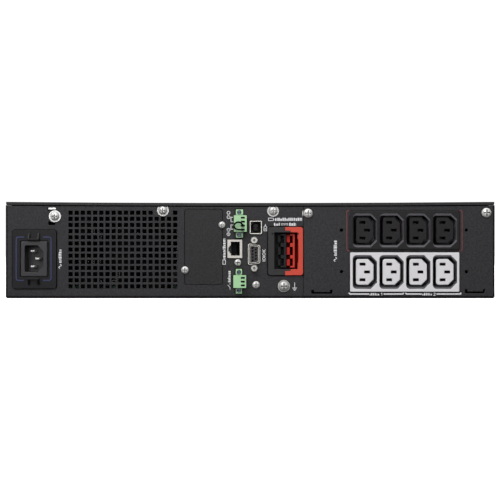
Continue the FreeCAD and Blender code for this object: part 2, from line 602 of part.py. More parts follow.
# ---------------------------------------------------------------- pluggable terminals
# body, flange, header: x0, x1, z0, z1; wires: entry z; screws: x, z
REMOTE = dict(body=(3.1, 14.5, 16.15, 30.8), flange=(6.4, 12.8, 11.0, 36.2),
              header=(6.0, 13.6, 10.5, 36.8), wires=(28.64, 25.11, 21.57, 18.04),
              screws=((9.85, 33.6), (9.85, 13.6)))
RELAY = dict(body=(3.6, 15.0, -33.9, -22.6), flange=(7.3, 12.9, -39.0, -17.1),
             header=(6.8, 13.6, -39.5, -16.6), wires=(-24.9, -28.25, -31.6),
             screws=((10.1, -19.9), (10.1, -36.2)))
JUMPER_PATH = [
    (6.2, 423.2, 21.57), (6.2, 424.8, 21.57), (6.2, 426.4, 21.57), (6.25, 428.0, 21.6),
    (6.7, 430.0, 22.0), (8.0, 431.0, 23.7), (10.8, 431.2, 24.6), (13.4, 431.0, 23.4),
    (14.3, 431.0, 21.2), (13.2, 431.0, 19.0), (11.0, 431.0, 18.1), (8.2, 430.9, 18.0),
    (6.7, 429.8, 18.04), (6.25, 428.0, 18.04), (6.2, 426.4, 18.04), (6.2, 424.8, 18.04),
    (6.2, 423.2, 18.04),
]


def plug(kind):
    x0, x1, z0, z1 = kind["flange"]
    body = fuse([rounded(*kind["body"], 0.5, REAR_Y + 0.5, REAR_Y + 8.0),
                 rounded(x0, x1, z0, z1, 0.5, REAR_Y - 1.5, REAR_Y + 3.4),
                 box(x0 + 0.2, x1 - 0.2, 410.2, REAR_Y + 0.6, z0 + 4.2, z1 - 4.2)])
    tools = []
    for z in kind["wires"]:
        tools.append(box(4.75, 8.35, REAR_Y - 1, REAR_Y + 10, z - 0.85, z + 0.85))
        tools.append(cyl_y(9.9, z, 0.8, 405, 418.5))
    for x, z in kind["screws"]:
        tools.append(cyl_y(x, z, 2.05, REAR_Y + 1.4, REAR_Y + 8))
        tools.append(cyl_y(x, z, 1.3, 405, REAR_Y + 8))
    return body.cut(tools)


def plug_screws(kind):
    screws = []
    for x, z in kind["screws"]:
        screw = fuse([cyl_y(x, z, 1.9, REAR_Y + 1.45, REAR_Y + 3.0),
                      cyl_y(x, z, 1.2, 411.5, REAR_Y + 2)])
        screws.append(screw.cut([box(x - 2.5, x + 2.5, REAR_Y + 2.2, REAR_Y + 4,
                                     z - 0.28, z + 0.28)]))
    return screws


def jumper_wire():
    return pipe(JUMPER_PATH, 0.78)


def terminal_headers():
    headers = []
    for kind in (REMOTE, RELAY):
        x0, x1, z0, z1 = kind["header"]
        header = box(x0, x1, PCB_Y1, 418.3, z0, z1).cut(
            [box(x0 + 0.45, x1 - 0.45, 409.0, 420, z0 + 4.3, z1 - 4.3),
             box(x0 - 1, x1 + 1, 417.2, 420, z0 - 1, z0 + 4.4),
             box(x0 - 1, x1 + 1, 417.2, 420, z1 - 4.4, z1 + 1)]
            + [cyl_y(x, z, 1.3, 408, 420) for x, z in kind["screws"]])
        headers.append(fuse([header] + [cyl_y(9.9, z, 0.5, 408.9, 417.0)
                                        for z in kind["wires"]]))
    return headers


def comm_board():
    """Signal board behind the ports, with two hexagonal standoffs."""
    board = box(-12, 22, PCB_Y0, PCB_Y1, -40.3, 38)
    bits = [board.cut([cyl_y(x, z, 1.55, 400, 410) for x, z in BOARD_SCREWS])]
    for x, z in BOARD_SCREWS:
        post = prism_y(ring_points(x, z, (2.5,), 6), PCB_Y1, 418.8)
        bits.append(post.cut([cyl_y(x, z, 1.55, 400, 425)]))
    return bits


# ---------------------------------------------------------------- rear fasteners
def rear_screw(place, y, *sizes):
    """Pan-head screw with its head to the rear; sizes as for pan_screw."""
    return stand(pan_screw(*sizes), (place[0], y, place[1]), (0, 1, 0))


def rear_screws():
    return [rear_screw(SCREW_INLET, REAR_Y, 3.7, 2.4, M4_SHANK, 7.0, 5.3, 0.9),
            rear_screw(SCREW_FAN, REAR_Y, 3.4, 2.5, M4_SHANK, 2.7),
            rear_screw(SCREW_PORTS, REAR_Y, 3.5, 2.5, M4_SHANK, 5.8),
            rear_screw(SCREW_SEAM, REAR_Y, 4.1, 2.5, M4_SHANK, 5.8),
            rear_screw(SCREW_EDGE, REAR_Y, 4.3, 2.6, M4_SHANK, 7.0)]


def panel_screws():
    return [rear_screw(place, REAR_Y + 0.1, head_r, 2.3, 1.45, 6.0)
            for place, head_r in zip(COVER_SCREWS + BOARD_SCREWS, (3.3, 3.0, 3.0, 3.3))]


def ground_screw():
    return rear_screw(GROUND, REAR_Y, 4.3, 2.8, M4_SHANK, 9.0, 5.35, 1.0)


# ---------------------------------------------------------------- fan
# Blade sections: radius, chord, pitch in degrees, sweep, thickness
BLADE_SECTIONS = [(FAN_HUB - 1.0, 19.0, 44, 0.0, 1.6), (27.0, 23.0, 36, 2.0, 1.4),
                  (FAN_TIP - 1.2, 26.0, 29, 5.0, 1.2)]


def fan_frame():
    tools = [cyl_y(FAN_X, FAN_Z, FAN_BORE, FAN_Y0 - 1, FAN_Y1 + 1)]
    for a in (-1, 1):
        for b in (-1, 1):
            tools.append(cyl_y(FAN_X + a * 35.75, FAN_Z + b * 35.75, 2.15,
                               FAN_Y0 - 1, FAN_Y1 + 1))
            # corner cut back between the two flanges
            tools.append(prism_y([(FAN_X + a * 41, b * 41), (FAN_X + a * 33, b * 41),
                                  (FAN_X + a * 41, b * 33)], FAN_Y0 + 4, FAN_Y1 - 4))
    frame = box(FAN_X - FAN_HALF, FAN_X + FAN_HALF, FAN_Y0, FAN_Y1, -FAN_HALF, FAN_HALF)
    bits = [frame.cut(tools), cyl_y(FAN_X, FAN_Z, 15.0, FAN_Y0, FAN_Y0 + 3.5)]
    for k in range(4):
        strut = box(FAN_X + 13, FAN_X + FAN_BORE + 1, FAN_Y0, FAN_Y0 + 3.0,
                    FAN_Z - 2.2, FAN_Z + 2.2)
        strut.rotate(Vector(FAN_X, 0, FAN_Z), Vector(0, 1, 0), 45 + 90 * k)
        bits.append(strut)
    bits.append(cyl_y(FAN_X, FAN_Z, 5.0, FAN_Y0, FAN_Y0 + 12))
    return fuse(bits).cut([cyl_y(FAN_X, FAN_Z, 1.55, FAN_Y0 + 1.5, FAN_Y0 + 20)])


def blade_wire(radius, chord, pitch, sweep, thick):
    """Cambered blade section, in a plane across the radius."""
    angle = math.radians(pitch)
    mid_y = (FAN_Y0 + 5.5 + FAN_Y1 - 2.5) / 2
    upper, lower = [], []
    for i in range(7):
        along = -chord / 2 + chord * i / 6
        camber = chord * 0.09 * (1 - (2 * along / chord) ** 2)
        upper.append((along, camber + thick / 2))
        lower.append((along, camber - thick / 2))
    points = []
    for along, across in upper + lower[::-1]:
        tangential = along * math.cos(angle) - across * math.sin(angle)
        axial = along * math.sin(angle) + across * math.cos(angle)
        points.append(Vector(radius, mid_y + axial, tangential + sweep))
    return closed(points)


def fan_rotor():
    hollow = cyl_y(FAN_X, FAN_Z, FAN_HUB - 1.6, FAN_Y0 + 4, FAN_Y1 - 3.5)
    bits = [cyl_y(FAN_X, FAN_Z, FAN_HUB, FAN_Y0 + 5.0, FAN_Y1 - 1.5).cut([hollow]),
            cyl_y(FAN_X, FAN_Z, 1.5, FAN_Y0 + 2.0, FAN_Y1 - 3)]
    pattern = Part.makeLoft([blade_wire(*row) for row in BLADE_SECTIONS], True, False)
    for k in range(FAN_BLADES):
        blade = pattern.copy()
        blade.rotate(Vector(0, 0, 0), Vector(0, 1, 0), 360.0 * k / FAN_BLADES)
        blade.translate(Vector(FAN_X, 0, FAN_Z))
        bits.append(blade)
    return fuse(bits).common(cyl_y(FAN_X, FAN_Z, FAN_TIP, FAN_Y0 + 1, FAN_Y1 - 0.8))


# ---------------------------------------------------------------- power electronics
BOARD_Z0, BOARD_Z1 = -35.6, -34.0


def main_board():
    board = box(-10, 212, 20, 380, BOARD_Z0, BOARD_Z1)
    return board.cut([cyl_z(x, y, 1.7, -40, -30) for x, y in STUDS])


def heatsinks():
    return [fuse([box(x0, x0 + 52, 170, 310, BOARD_Z1, -29.5)]
                 + [box(x0 + k * 6.3, x0 + k * 6.3 + 1.6, 170, 310, -29.6, 22)
                    for k in range(9)])
            for x0 in (22.0, 112.0)]


def capacitors():
    """Six large cans with a crimp groove, and three small ones."""
    cans = []
    for k in range(6):
        y = 182 + k * 23.5
        groove = Part.makeTorus(9.9, 0.9, Vector(93.0, y, 1.5))
        cans.append(cyl_z(93.0, y, 9.5, BOARD_Z1, 6.0).cut(groove))
    return cans + [cyl_z(12, 60 + k * 16, 6.2, BOARD_Z1, -10) for k in range(3)]


def inductors():
    return [Part.makeTorus(15, 6.5, Vector(x, y, -27.5)) for y in (80, 125) for x in (60, 100)]


def transformer():
    core = box(172, 210, 185, 245, BOARD_Z1, 8).cut([box(171, 211, 192, 238, -26, 0)])
    return [core, rounded(172.5, 209.5, -25.8, -0.2, 5, 192.5, 237.5)]


def relays():
    return [rounded(20 + k * 24, 39 + k * 24, BOARD_Z1, -18, 0.8, 328, 357) for k in range(4)]


def board_lead(points, x, y):
    """Wire through the points down to a round terminal on the main board."""
    wire = pipe(points + [(x, y, -31.5)], 1.6)
    return fuse([wire, cyl_z(x, y, 2.3, -33.95, -29.5)])


def wiring_harness():
    """Three inlet leads, four outlet leads and an angle bracket."""
    bits = []
    for i, (pin_x, pin_z) in enumerate(INLET_PINS):
        x, y = 180 - 9 * i, 350
        bits.append(board_lead([(pin_x, 389.4, pin_z), (pin_x, 384, pin_z),
                                (186 - 8 * i, 362, -14 + 3 * i),
                                (x, y + 2, -24), (x, y, -28)], x, y))
    for i, (start_x, start_z) in enumerate(((-104, 22), (-128, 14), (-104, -18), (-128, -24))):
        x, y = -4, 337 + 9 * i
        bits.append(board_lead([(start_x, 401.6, start_z), (start_x, 394, start_z),
                                (-60, 360 + 5 * i, -20 + 4 * i),
                                (-20, 350 + 7 * i, -24 + 3 * i), (x, y, -27)], x, y))
    bits.append(fuse([box(-4, 14, 398.6, 399.6, -33, -12), box(-4, 14, 383, 399.6, -34, -33)]))
    return bits


# ---------------------------------------------------------------- battery module
# Lead paths (x, y, z)
BATTERY_LEADS = [
    [(-32.0, 2.4, 34.0), (-32.0, -0.5, 34.0), (-33.0, -5.0, 34.0), (-38, -8.5, 34.0),
     (-52, -6.5, 33.5), (-60, 4, 32.5), (-62, 30, 30.0), (-62, 80, 28.0), (-66, 140, 28.0),
     (-98, 168, 28.2), (-98.0, 170, 27.9)],
    [(-40.0, 2.4, 34.0), (-40.0, 0.6, 34.0), (-41.5, -2.2, 34.0), (-46, -3.0, 34.2),
     (-51.5, 1.0, 34.6), (-54, 10, 34.0), (-55.5, 30, 32.5), (-56, 90, 31.6),
     (-57, 150, 31.6), (-40, 166, 30.0), (-37, 168, 29.0)],
    [(-128, 117.5, 28.2), (-125, 114, 28.6), (-115, 112.5, 29.0), (-105, 114, 28.6),
     (-102, 117.5, 28.2)],
]


def battery_tray():
    bits = [
        # door, notched at the top
        box(-216, -7.6, -1.5, -0.3, -40.6, 24.2), box(-216, -204, -1.5, -0.3, 24.1, 38.4),
        box(-16.5, -7.6, -1.5, -0.3, 24.1, 38.4),
        # floor, two sides and rear wall
        box(-212, -18, -1.0, 322, -41.4, -40.4), box(-212, -211, -1.0, 322, -41.4, 8),
        box(-19, -18, -1.0, 322, -41.4, 8), box(-212, -18, 321, 322, -41.4, 8)]
    # handle
    bits += [box(x, x + 6, -15, -1.4, -3, 3) for x in (-148.0, -90.0)]
    bits.append(cyl_x(-14.5, 0, 4.0, -148, -84))
    return fuse(bits).cut([cyl_y(x, z, 2.25, -5, 3) for x, z in THUMBSCREWS.values()])


def battery_blocks():
    """Four batteries, each with two terminal tabs."""
    top = 24.6
    blocks = []
    for x0 in (-210.6, -113.4):
        for y0, tab_y in ((3.0, 120.0), (158.0, 172.0)):
            block = box(x0, x0 + 94, y0, y0 + 151, -40.3, top)
            block = block.makeFillet(1.5, [e for e in block.Edges if lies_on(e, "Z", top)])
            blocks.append(fuse([block] + [box(x0 + dx, x0 + dx + 1, tab_y, tab_y + 7, 24.4, 30)
                                          for dx in (14, 79)]))
    return blocks


def battery_leads():
    return [pipe(path, 2.1) for path in BATTERY_LEADS]


def battery_plug():
    body = fuse([rounded(-46, -26, 27.5, 39, 1.2, 3, 22),
                 rounded(-44.6, -27.4, 29, 37.4, 0.8, 21.5, 33)])
    return body.cut([box(x0, x0 + 5.2, 24, 40, 31, 35.6) for x0 in (-42.6, -34.6)])


def battery_receptacle():
    body = fuse([rounded(-47.4, -24.6, 26.9, 39.3, 1.2, 22.3, 46),
                 box(-25, -16, 26, 42, 29.5, 36.5)])
    body = body.cut([rounded(-45.0, -27.0, 28.6, 37.8, 0.8, 22, 36)])
    return fuse([body] + [box(x0, x0 + 4.4, 25, 36.5, 31.4, 35.2) for x0 in (-42.2, -34.2)])


def thumbscrew(x, z):
    """Knurled, slotted head at the front, collar and shank behind it."""
    screw = fuse([prism_y(ring_points(x, z, (4.15, 4.5), 48), -11.5, -3.2),
                  cyl_y(x, z, 3.4, -3.3, -1.6), cyl_y(x, z, 1.9, -1.7, 6.0)])
    return screw.cut([box(x - 5, x + 5, -12, -10.2, z - 0.6, z + 0.6)])


# ---------------------------------------------------------------- front covers
BEZEL_Y, BEZEL_HALF_H, BEZEL_WALL = -28.0, 42.5, 2.4
HINGE_Y, HINGE_Z, HINGE_R = -23.0, 26.0, 2.0


def front_shell(x0, x1, back_y):
    """Hollow cover, open at the back, with rounded front edges."""
    half, wall = BEZEL_HALF_H, BEZEL_WALL
    outer = box(x0, x1, BEZEL_Y, back_y, -half, half)
    outer = outer.makeFillet(3.0, [e for e in outer.Edges if lies_on(e, "Y", BEZEL_Y)])
    return outer.cut([box(x0 + wall, x1 - wall, BEZEL_Y + wall, back_y + 5,
                          -half + wall, half - wall)])


def vent_slots(starts, length):
    """Eleven rows of slots, one slot per starting x."""
    rows = [-32.5 + i * 6.5 for i in range(11)]
    return [box(x, x + length, -30, -24, z - 1.5, z + 1.5) for z in rows for x in starts]


def access_cover():
    return front_shell(-218.5, -4.6, -2.4).cut(vent_slots((-205.0, -156.0, -107.0, -58.0), 43))


def front_bezel():
    """Cover on the +X side, with a recess and hinge holes for the display."""
    bits = [front_shell(-3.4, 218.5, 0.0), box(1.5, 130.5, BEZEL_Y + 1, -12, -35, 35)]
    bits += [cyl_y(x, z, 2.0, BEZEL_Y + 1, 0) for z in (-38, 38) for x in (8, 124)]
    tools = [box(3.5, 128.5, -40, -14, -33, 33),
             cyl_x(HINGE_Y, HINGE_Z, HINGE_R + 0.05, 1.0, 131.0), cyl_y(66, 0, 7.0, -16, -10)]
    return fuse(bits).cut(tools + vent_slots((140.0, 177.0), 31))


# ---------------------------------------------------------------- tilting display
DISPLAY_X0, DISPLAY_X1 = 4.3, 127.7
NAV_BUTTONS = {"escape_button": 20.0, "up_button": 38.0, "down_button": 56.0,
               "enter_button": 74.0}
NAV_Z = -22.5
LAMP_XS = (96, 102, 108, 114)   # row of small round lights
POWER_X, POWER_Z = 105, 5


def display_housing():
    x0, x1 = DISPLAY_X0, DISPLAY_X1
    body = fuse([box(x0, x1, -29, -17, -32, HINGE_Z), cyl_x(HINGE_Y, HINGE_Z, 6.0, x0, x1)])
    body = body.cut([box(x0 + 2, x1 - 2, -27, -19, -30, 24)])
    body = fuse([body, cyl_x(HINGE_Y, HINGE_Z, HINGE_R, 1.6, x0 + 0.5),
                 cyl_x(HINGE_Y, HINGE_Z, HINGE_R, x1 - 0.5, 130.4)])
    tools = [rounded(9.8, 84.2, -14.2, 23.2, 1.2, -30, -27.55),
             box(13, 81, -30, -26, -11, 20), cyl_y(POWER_X, POWER_Z, 9.2, -30, -26),
             cyl_y(66, 0, 4.0, -20, -16)]
    for x in NAV_BUTTONS.values():
        tools.append(rounded(x - 6.15, x + 6.15, NAV_Z - 3.15, NAV_Z + 3.15, 3.1, -30, -26))
    tools += [cyl_y(x, NAV_Z, 1.3, -30, -26) for x in LAMP_XS]
    return body.cut(tools)


def display_window():
    return rounded(10.0, 84.0, -14.0, 23.0, 1.0, -28.85, -27.6)


def display_board():
    """Board with the screen, switches and lights on its front."""
    bits = [box(7.5, 124.5, -21.0, -19.4, -29, 23), box(12.5, 81.5, -26.4, -20.9, -12.5, 21.5),
            box(102, 108, -24.2, -20.9, 2, 8)]
    for x in NAV_BUTTONS.values():
        bits.append(box(x - 3, x + 3, -24.4, -20.9, NAV_Z - 3, NAV_Z + 3))
    bits += [cyl_y(x, NAV_Z, 1.1, -28.9, -20.9) for x in LAMP_XS]
    return fuse(bits).cut([cyl_y(66, 0, 0.5, -30, -10)])


def power_button():
    front_y = -30.4
    button = fuse([cyl_y(POWER_X, POWER_Z, 9.0, front_y, -26.9),
                   cyl_y(POWER_X, POWER_Z, 10.6, -26.95, -25.9)])
    return button.makeFillet(0.6, [e for e in button.Edges if lies_on(e, "Y", front_y)])


def nav_button(x):
    return fuse([rounded(x - 6.0, x + 6.0, NAV_Z - 3.0, NAV_Z + 3.0, 2.95, -30.2, -26.9),
                 rounded(x - 7.4, x + 7.4, NAV_Z - 4.3, NAV_Z + 4.3, 3.0, -26.95, -26.0)])


# ---------------------------------------------------------------- rack ears
EAR_THICK, EAR_SPAN, EAR_HALF_H = 2.0, 482.6, 42.4
EAR_PITCH_X, EAR_PITCH_Z = 465.1, 76.2
EAR_SLOT_R, EAR_SLOT_L = 3.4, 10.5
EAR_X = HALF_W + EAR_THICK


def ear_slot(xc, zc):
    half = EAR_SLOT_L / 2 - EAR_SLOT_R
    return fuse([box(xc - half, xc + half, -5, 3, zc - EAR_SLOT_R, zc + EAR_SLOT_R),
                 cyl_y(xc - half, zc, EAR_SLOT_R, -5, 3),
                 cyl_y(xc + half, zc, EAR_SLOT_R, -5, 3)])


def rack_ears():
    ears = []
    for side in (-1, 1):
        x, out = side * EAR_X, Vector(side, 0, 0)
        ear = fuse([box(side * HALF_W, x, -EAR_THICK, 42, -EAR_HALF_H, EAR_HALF_H),
                    box(side * HALF_W, side * EAR_SPAN / 2, -EAR_THICK, 0,
                        -EAR_HALF_H, EAR_HALF_H)])
        tools = [ear_slot(side * EAR_PITCH_X / 2, up * EAR_PITCH_Z / 2) for up in (-1, 1)]
        for y, z in EAR_SCREWS:
            tools.append(Part.makeCone(2.1, 4.1, 2.0, Vector(x - side * 2.0, y, z), out))
            tools.append(Part.makeCylinder(2.1, 6, Vector(x - side * 4, y, z), out))
        ears.append(ear.cut(tools))
    return ears


def body_screws():
    """Countersunk screws of the ears, then of the lid."""
    screws = [stand(csk_screw(3.85, 1.9, M4_SHANK, 6.0),
                    (side * (EAR_X - 0.1), y, z), (side, 0, 0))
              for side in (-1, 1) for y, z in EAR_SCREWS]
    return screws + [stand(csk_screw(3.9, 1.85, M4_SHANK, 8.0), (x, y, 42.85), (0, 0, 1))
                     for x, y in LID_SCREWS]


# ---------------------------------------------------------------- write the pieces
# Each of these functions has the name of its piece.
for build in (
        chassis_base, top_cover, rear_panel, output_panel, slot_cover,
        inlet_plate, inlet_housing, inlet_pins,
        outlet_block_dark, outlet_block_light, outlet_contacts, battery_socket_contacts,
        data_jack_shell, data_jack_insert, usb_shell, usb_insert,
        serial_shell, serial_insert, serial_jackscrews, port_contacts,
        jumper_wire, terminal_headers, comm_board, rear_screws, panel_screws, ground_screw,
        fan_frame, fan_rotor, main_board, heatsinks, capacitors, inductors, transformer,
        relays, wiring_harness, battery_tray, battery_blocks, battery_leads, battery_plug,
        battery_receptacle, access_cover, front_bezel, display_housing, display_window,
        display_board, power_button, rack_ears, body_screws):
    save(build.__name__, build())

socket_black, socket_red = battery_socket()
save("battery_socket_black", socket_black)
save("battery_socket_red", socket_red)
for plug_name, kind in (("remote", REMOTE), ("relay", RELAY)):
    save(plug_name + "_plug", plug(kind))
    save(plug_name + "_plug_screws", plug_screws(kind))
for name, place in THUMBSCREWS.items():
    save(name, thumbscrew(*place))
for name, x in NAV_BUTTONS.items():
    save(name, nav_button(x))
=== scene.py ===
"""Rack-mount uninterruptible power supply, seen square on from behind.

X runs across the unit, +Y points to the rear and +Z up, so +X is on the left when seen from
behind. Shapes are given in millimetres and scaled by MM; shader lengths are in metres unless
they are multiplied by MM.
"""
import bpy
import bmesh
import math
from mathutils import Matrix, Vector

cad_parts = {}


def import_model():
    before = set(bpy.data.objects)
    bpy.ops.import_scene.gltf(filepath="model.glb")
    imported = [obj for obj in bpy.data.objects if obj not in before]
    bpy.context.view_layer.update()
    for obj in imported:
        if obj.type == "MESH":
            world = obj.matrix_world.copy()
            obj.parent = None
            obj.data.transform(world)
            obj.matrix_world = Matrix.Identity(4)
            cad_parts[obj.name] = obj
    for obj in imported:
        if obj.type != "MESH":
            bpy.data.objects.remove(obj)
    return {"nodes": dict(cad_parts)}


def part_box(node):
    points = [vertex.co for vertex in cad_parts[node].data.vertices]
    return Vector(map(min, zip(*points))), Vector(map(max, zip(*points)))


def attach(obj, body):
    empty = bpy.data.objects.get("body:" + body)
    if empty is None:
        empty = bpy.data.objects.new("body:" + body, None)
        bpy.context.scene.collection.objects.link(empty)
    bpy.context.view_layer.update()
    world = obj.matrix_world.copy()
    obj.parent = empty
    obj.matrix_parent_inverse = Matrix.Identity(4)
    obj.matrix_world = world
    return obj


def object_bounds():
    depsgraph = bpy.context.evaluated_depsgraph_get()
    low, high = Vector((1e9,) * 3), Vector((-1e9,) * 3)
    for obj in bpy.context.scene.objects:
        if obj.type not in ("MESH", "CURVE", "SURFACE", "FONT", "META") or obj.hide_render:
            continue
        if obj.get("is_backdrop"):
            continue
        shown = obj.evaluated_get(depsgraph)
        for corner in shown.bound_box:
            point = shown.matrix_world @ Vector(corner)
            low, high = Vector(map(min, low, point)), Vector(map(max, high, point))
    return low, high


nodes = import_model()["nodes"]
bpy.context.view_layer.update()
scene = bpy.context.scene

MM = 0.001
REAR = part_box("rear_panel")[1].y / MM           # outer face of the rear panel
KEY_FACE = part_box("escape_button")[0].y / MM    # front face of the small keys

# Printed marks and bare metal rings stand a little proud of the face and sink a little into it
SINK = 0.03
INK_RISE = 0.07
RING_RISE = 0.06

# Front controls
CONTROL_ROW_Z = -22.5
FIRST_LAMP_X, LAMP_PITCH = 96, 6
FIRST_KEY_X, KEY_PITCH = 20, 18
POWER_KEY_X, POWER_KEY_Z = 105, 5
FILM_INSET = 4

# Outlet bosses: two rows on a regular pitch across the panel
BOSS_PITCH = 23.94
BOSS_SHIFT = 102.75             # puts a boss centre at x = -102.75
BOSS_UPPER_Z, BOSS_LOWER_Z = 17.5, -19.84

# Camera
SENSOR_WIDTH = 36.0
VIEW_WIDTH = 448.85             # width of the view at the rear panel
VIEW_DISTANCE = 900.0


# ------------------------------------------------------------------ node graph helpers
class Graph:
    """Builds shader nodes; a value may be a number, an RGB tuple or another node's output."""

    def __init__(self, tree):
        self.tree = tree

    def node(self, kind, **settings):
        node = self.tree.nodes.new(kind)
        for key, value in settings.items():
            setattr(node, key, value)
        return node

    def feed(self, socket, value):
        if isinstance(value, bpy.types.NodeSocket):
            self.tree.links.new(value, socket)
        elif isinstance(value, tuple):
            socket.default_value = (*value, 1)
        else:
            socket.default_value = value

    def math(self, operation, *values, clamp=False):
        node = self.node("ShaderNodeMath", operation=operation, use_clamp=clamp)
        for socket, value in zip(node.inputs, values):
            self.feed(socket, value)
        return node.outputs[0]

    def product(self, first, *others):
        for other in others:
            first = self.math("MULTIPLY", first, other)
        return first

    def map_range(self, value, from_min, from_max, to_min=0.0, to_max=1.0):
        node = self.node("ShaderNodeMapRange")
        limits = {"Value": value, "From Min": from_min, "From Max": from_max,
                  "To Min": to_min, "To Max": to_max}
        for key, limit in limits.items():
            self.feed(node.inputs[key], limit)
        return node.outputs[0]

    def split(self, vector):
        node = self.node("ShaderNodeSeparateXYZ")
        self.feed(node.inputs[0], vector)
        return tuple(node.outputs)

    def camera_switch(self, others, camera):
        """One shader for camera rays and another for all other rays."""
        path = self.node("ShaderNodeLightPath")
        switch = self.node("ShaderNodeMixShader")
        for socket, value in zip(switch.inputs, (path.outputs["Is Camera Ray"], others, camera)):
            self.feed(socket, value)
        return switch.outputs[0]


class Surface(Graph):
    """A Principled material driven by object coordinates."""

    def __init__(self, name):
        self.material = bpy.data.materials.new(name)
        self.material.use_nodes = True
        super().__init__(self.material.node_tree)
        self.shader = next(n for n in self.tree.nodes if n.type == "BSDF_PRINCIPLED")
        self.coords = self.node("ShaderNodeTexCoord").outputs["Object"]
        self.last_normal = None

    # --- patterns
    def texture(self, kind, scale, **settings):
        node = self.node(kind, **settings)
        node.inputs["Scale"].default_value = 1.0
        mapping = self.node("ShaderNodeMapping")
        mapping.inputs["Scale"].default_value = scale if isinstance(scale, tuple) else (scale,) * 3
        self.feed(mapping.inputs["Vector"], self.coords)
        self.feed(node.inputs["Vector"], mapping.outputs["Vector"])
        return node

    def noise(self, scale, detail=2.0, roughness=0.5):
        node = self.texture("ShaderNodeTexNoise", scale)
        node.inputs["Detail"].default_value = detail
        node.inputs["Roughness"].default_value = roughness
        return node.outputs["Fac"]

    def voronoi(self, scale, feature="F1"):
        return self.texture("ShaderNodeTexVoronoi", scale, feature=feature).outputs["Distance"]

    def wave(self, scale, direction, distortion=0.0):
        node = self.texture("ShaderNodeTexWave", scale, bands_direction=direction)
        node.inputs["Distortion"].default_value = distortion
        return node.outputs["Fac"]

    # --- masks
    def over(self, value, limit):
        return self.math("GREATER_THAN", value, limit)

    def under(self, value, limit):
        return self.math("LESS_THAN", value, limit)

    def size(self, value):
        return self.math("ABSOLUTE", value)

    def face_normal(self):
        return self.node("ShaderNodeNewGeometry").outputs["Normal"]

    def edge(self, radius, gain):
        """0 on flats, rising to 1 on convex and concave edges."""
        bevel = self.node("ShaderNodeBevel", samples=4)
        bevel.inputs["Radius"].default_value = radius
        dot = self.node("ShaderNodeVectorMath", operation="DOT_PRODUCT")
        self.feed(dot.inputs[0], bevel.outputs["Normal"])
        self.feed(dot.inputs[1], self.face_normal())
        turn = self.math("SUBTRACT", 1.0, dot.outputs["Value"], clamp=True)
        return self.math("MULTIPLY", turn, gain, clamp=True)

    # --- colours
    def mix(self, factor, first, second):
        node = self.node("ShaderNodeMix", data_type="RGBA", blend_type="MIX")
        for index, value in ((0, factor), (6, first), (7, second)):
            self.feed(node.inputs[index], value)
        return node.outputs[2]

    def mottle(self, colour, low, high, scale, detail):
        """Noise clouds between two brightnesses of a colour."""
        return self.mix(self.noise(scale, detail), scaled(colour, low), scaled(colour, high))

    def tint(self, base, mask, strength, target):
        return self.mix(self.product(mask, strength), base, target)

    def shade(self, colour, reach, darkest, floor, ceiling=0.97):
        """Painted shade: darkens creases, grooves and recesses by ambient occlusion, standing in
        for the shadow between close-fitting parts.
        """
        occlusion = self.node("ShaderNodeAmbientOcclusion", samples=6)
        occlusion.inputs["Distance"].default_value = reach
        light = self.map_range(occlusion.outputs["AO"], floor, ceiling, darkest, 1.0)
        return self.mix(light, (0.0, 0.0, 0.0), colour)

    # --- shader inputs
    def colour(self, value):
        self.feed(self.shader.inputs["Base Color"], value)

    def roughness(self, mean, spread, scale):
        grain = self.noise(scale, detail=3)
        value = self.math("MULTIPLY_ADD", grain, spread * 2, mean - spread)
        self.feed(self.shader.inputs["Roughness"], value)

    def set(self, **values):
        for key, value in values.items():
            self.shader.inputs[key.replace("_", " ")].default_value = value

    def soften(self, radius=0.0004):
        """Rounds sharp edges in the shading, so rims and corners catch a line of light."""
        bevel = self.node("ShaderNodeBevel", samples=6)
        bevel.inputs["Radius"].default_value = radius
        self.last_normal = bevel.outputs["Normal"]

    def bump(self, height, strength, distance):
        """Adds relief on top of any softening or earlier bump."""
        node = self.node("ShaderNodeBump")
        node.inputs["Strength"].default_value = strength
        node.inputs["Distance"].default_value = distance
        self.feed(node.inputs["Height"], height)
        if self.last_normal is not None:
            self.feed(node.inputs["Normal"], self.last_normal)
        self.last_normal = node.outputs["Normal"]
        self.feed(self.shader.inputs["Normal"], self.last_normal)


def srgb(*levels):
    """Linear colour from 0-255 sRGB levels."""
    def linear(c):
        return c / 12.92 if c <= 0.04045 else ((c + 0.055) / 1.055) ** 2.4
    return tuple(linear(level / 255) for level in levels)


def scaled(colour, factor):
    return tuple(c * factor for c in colour)


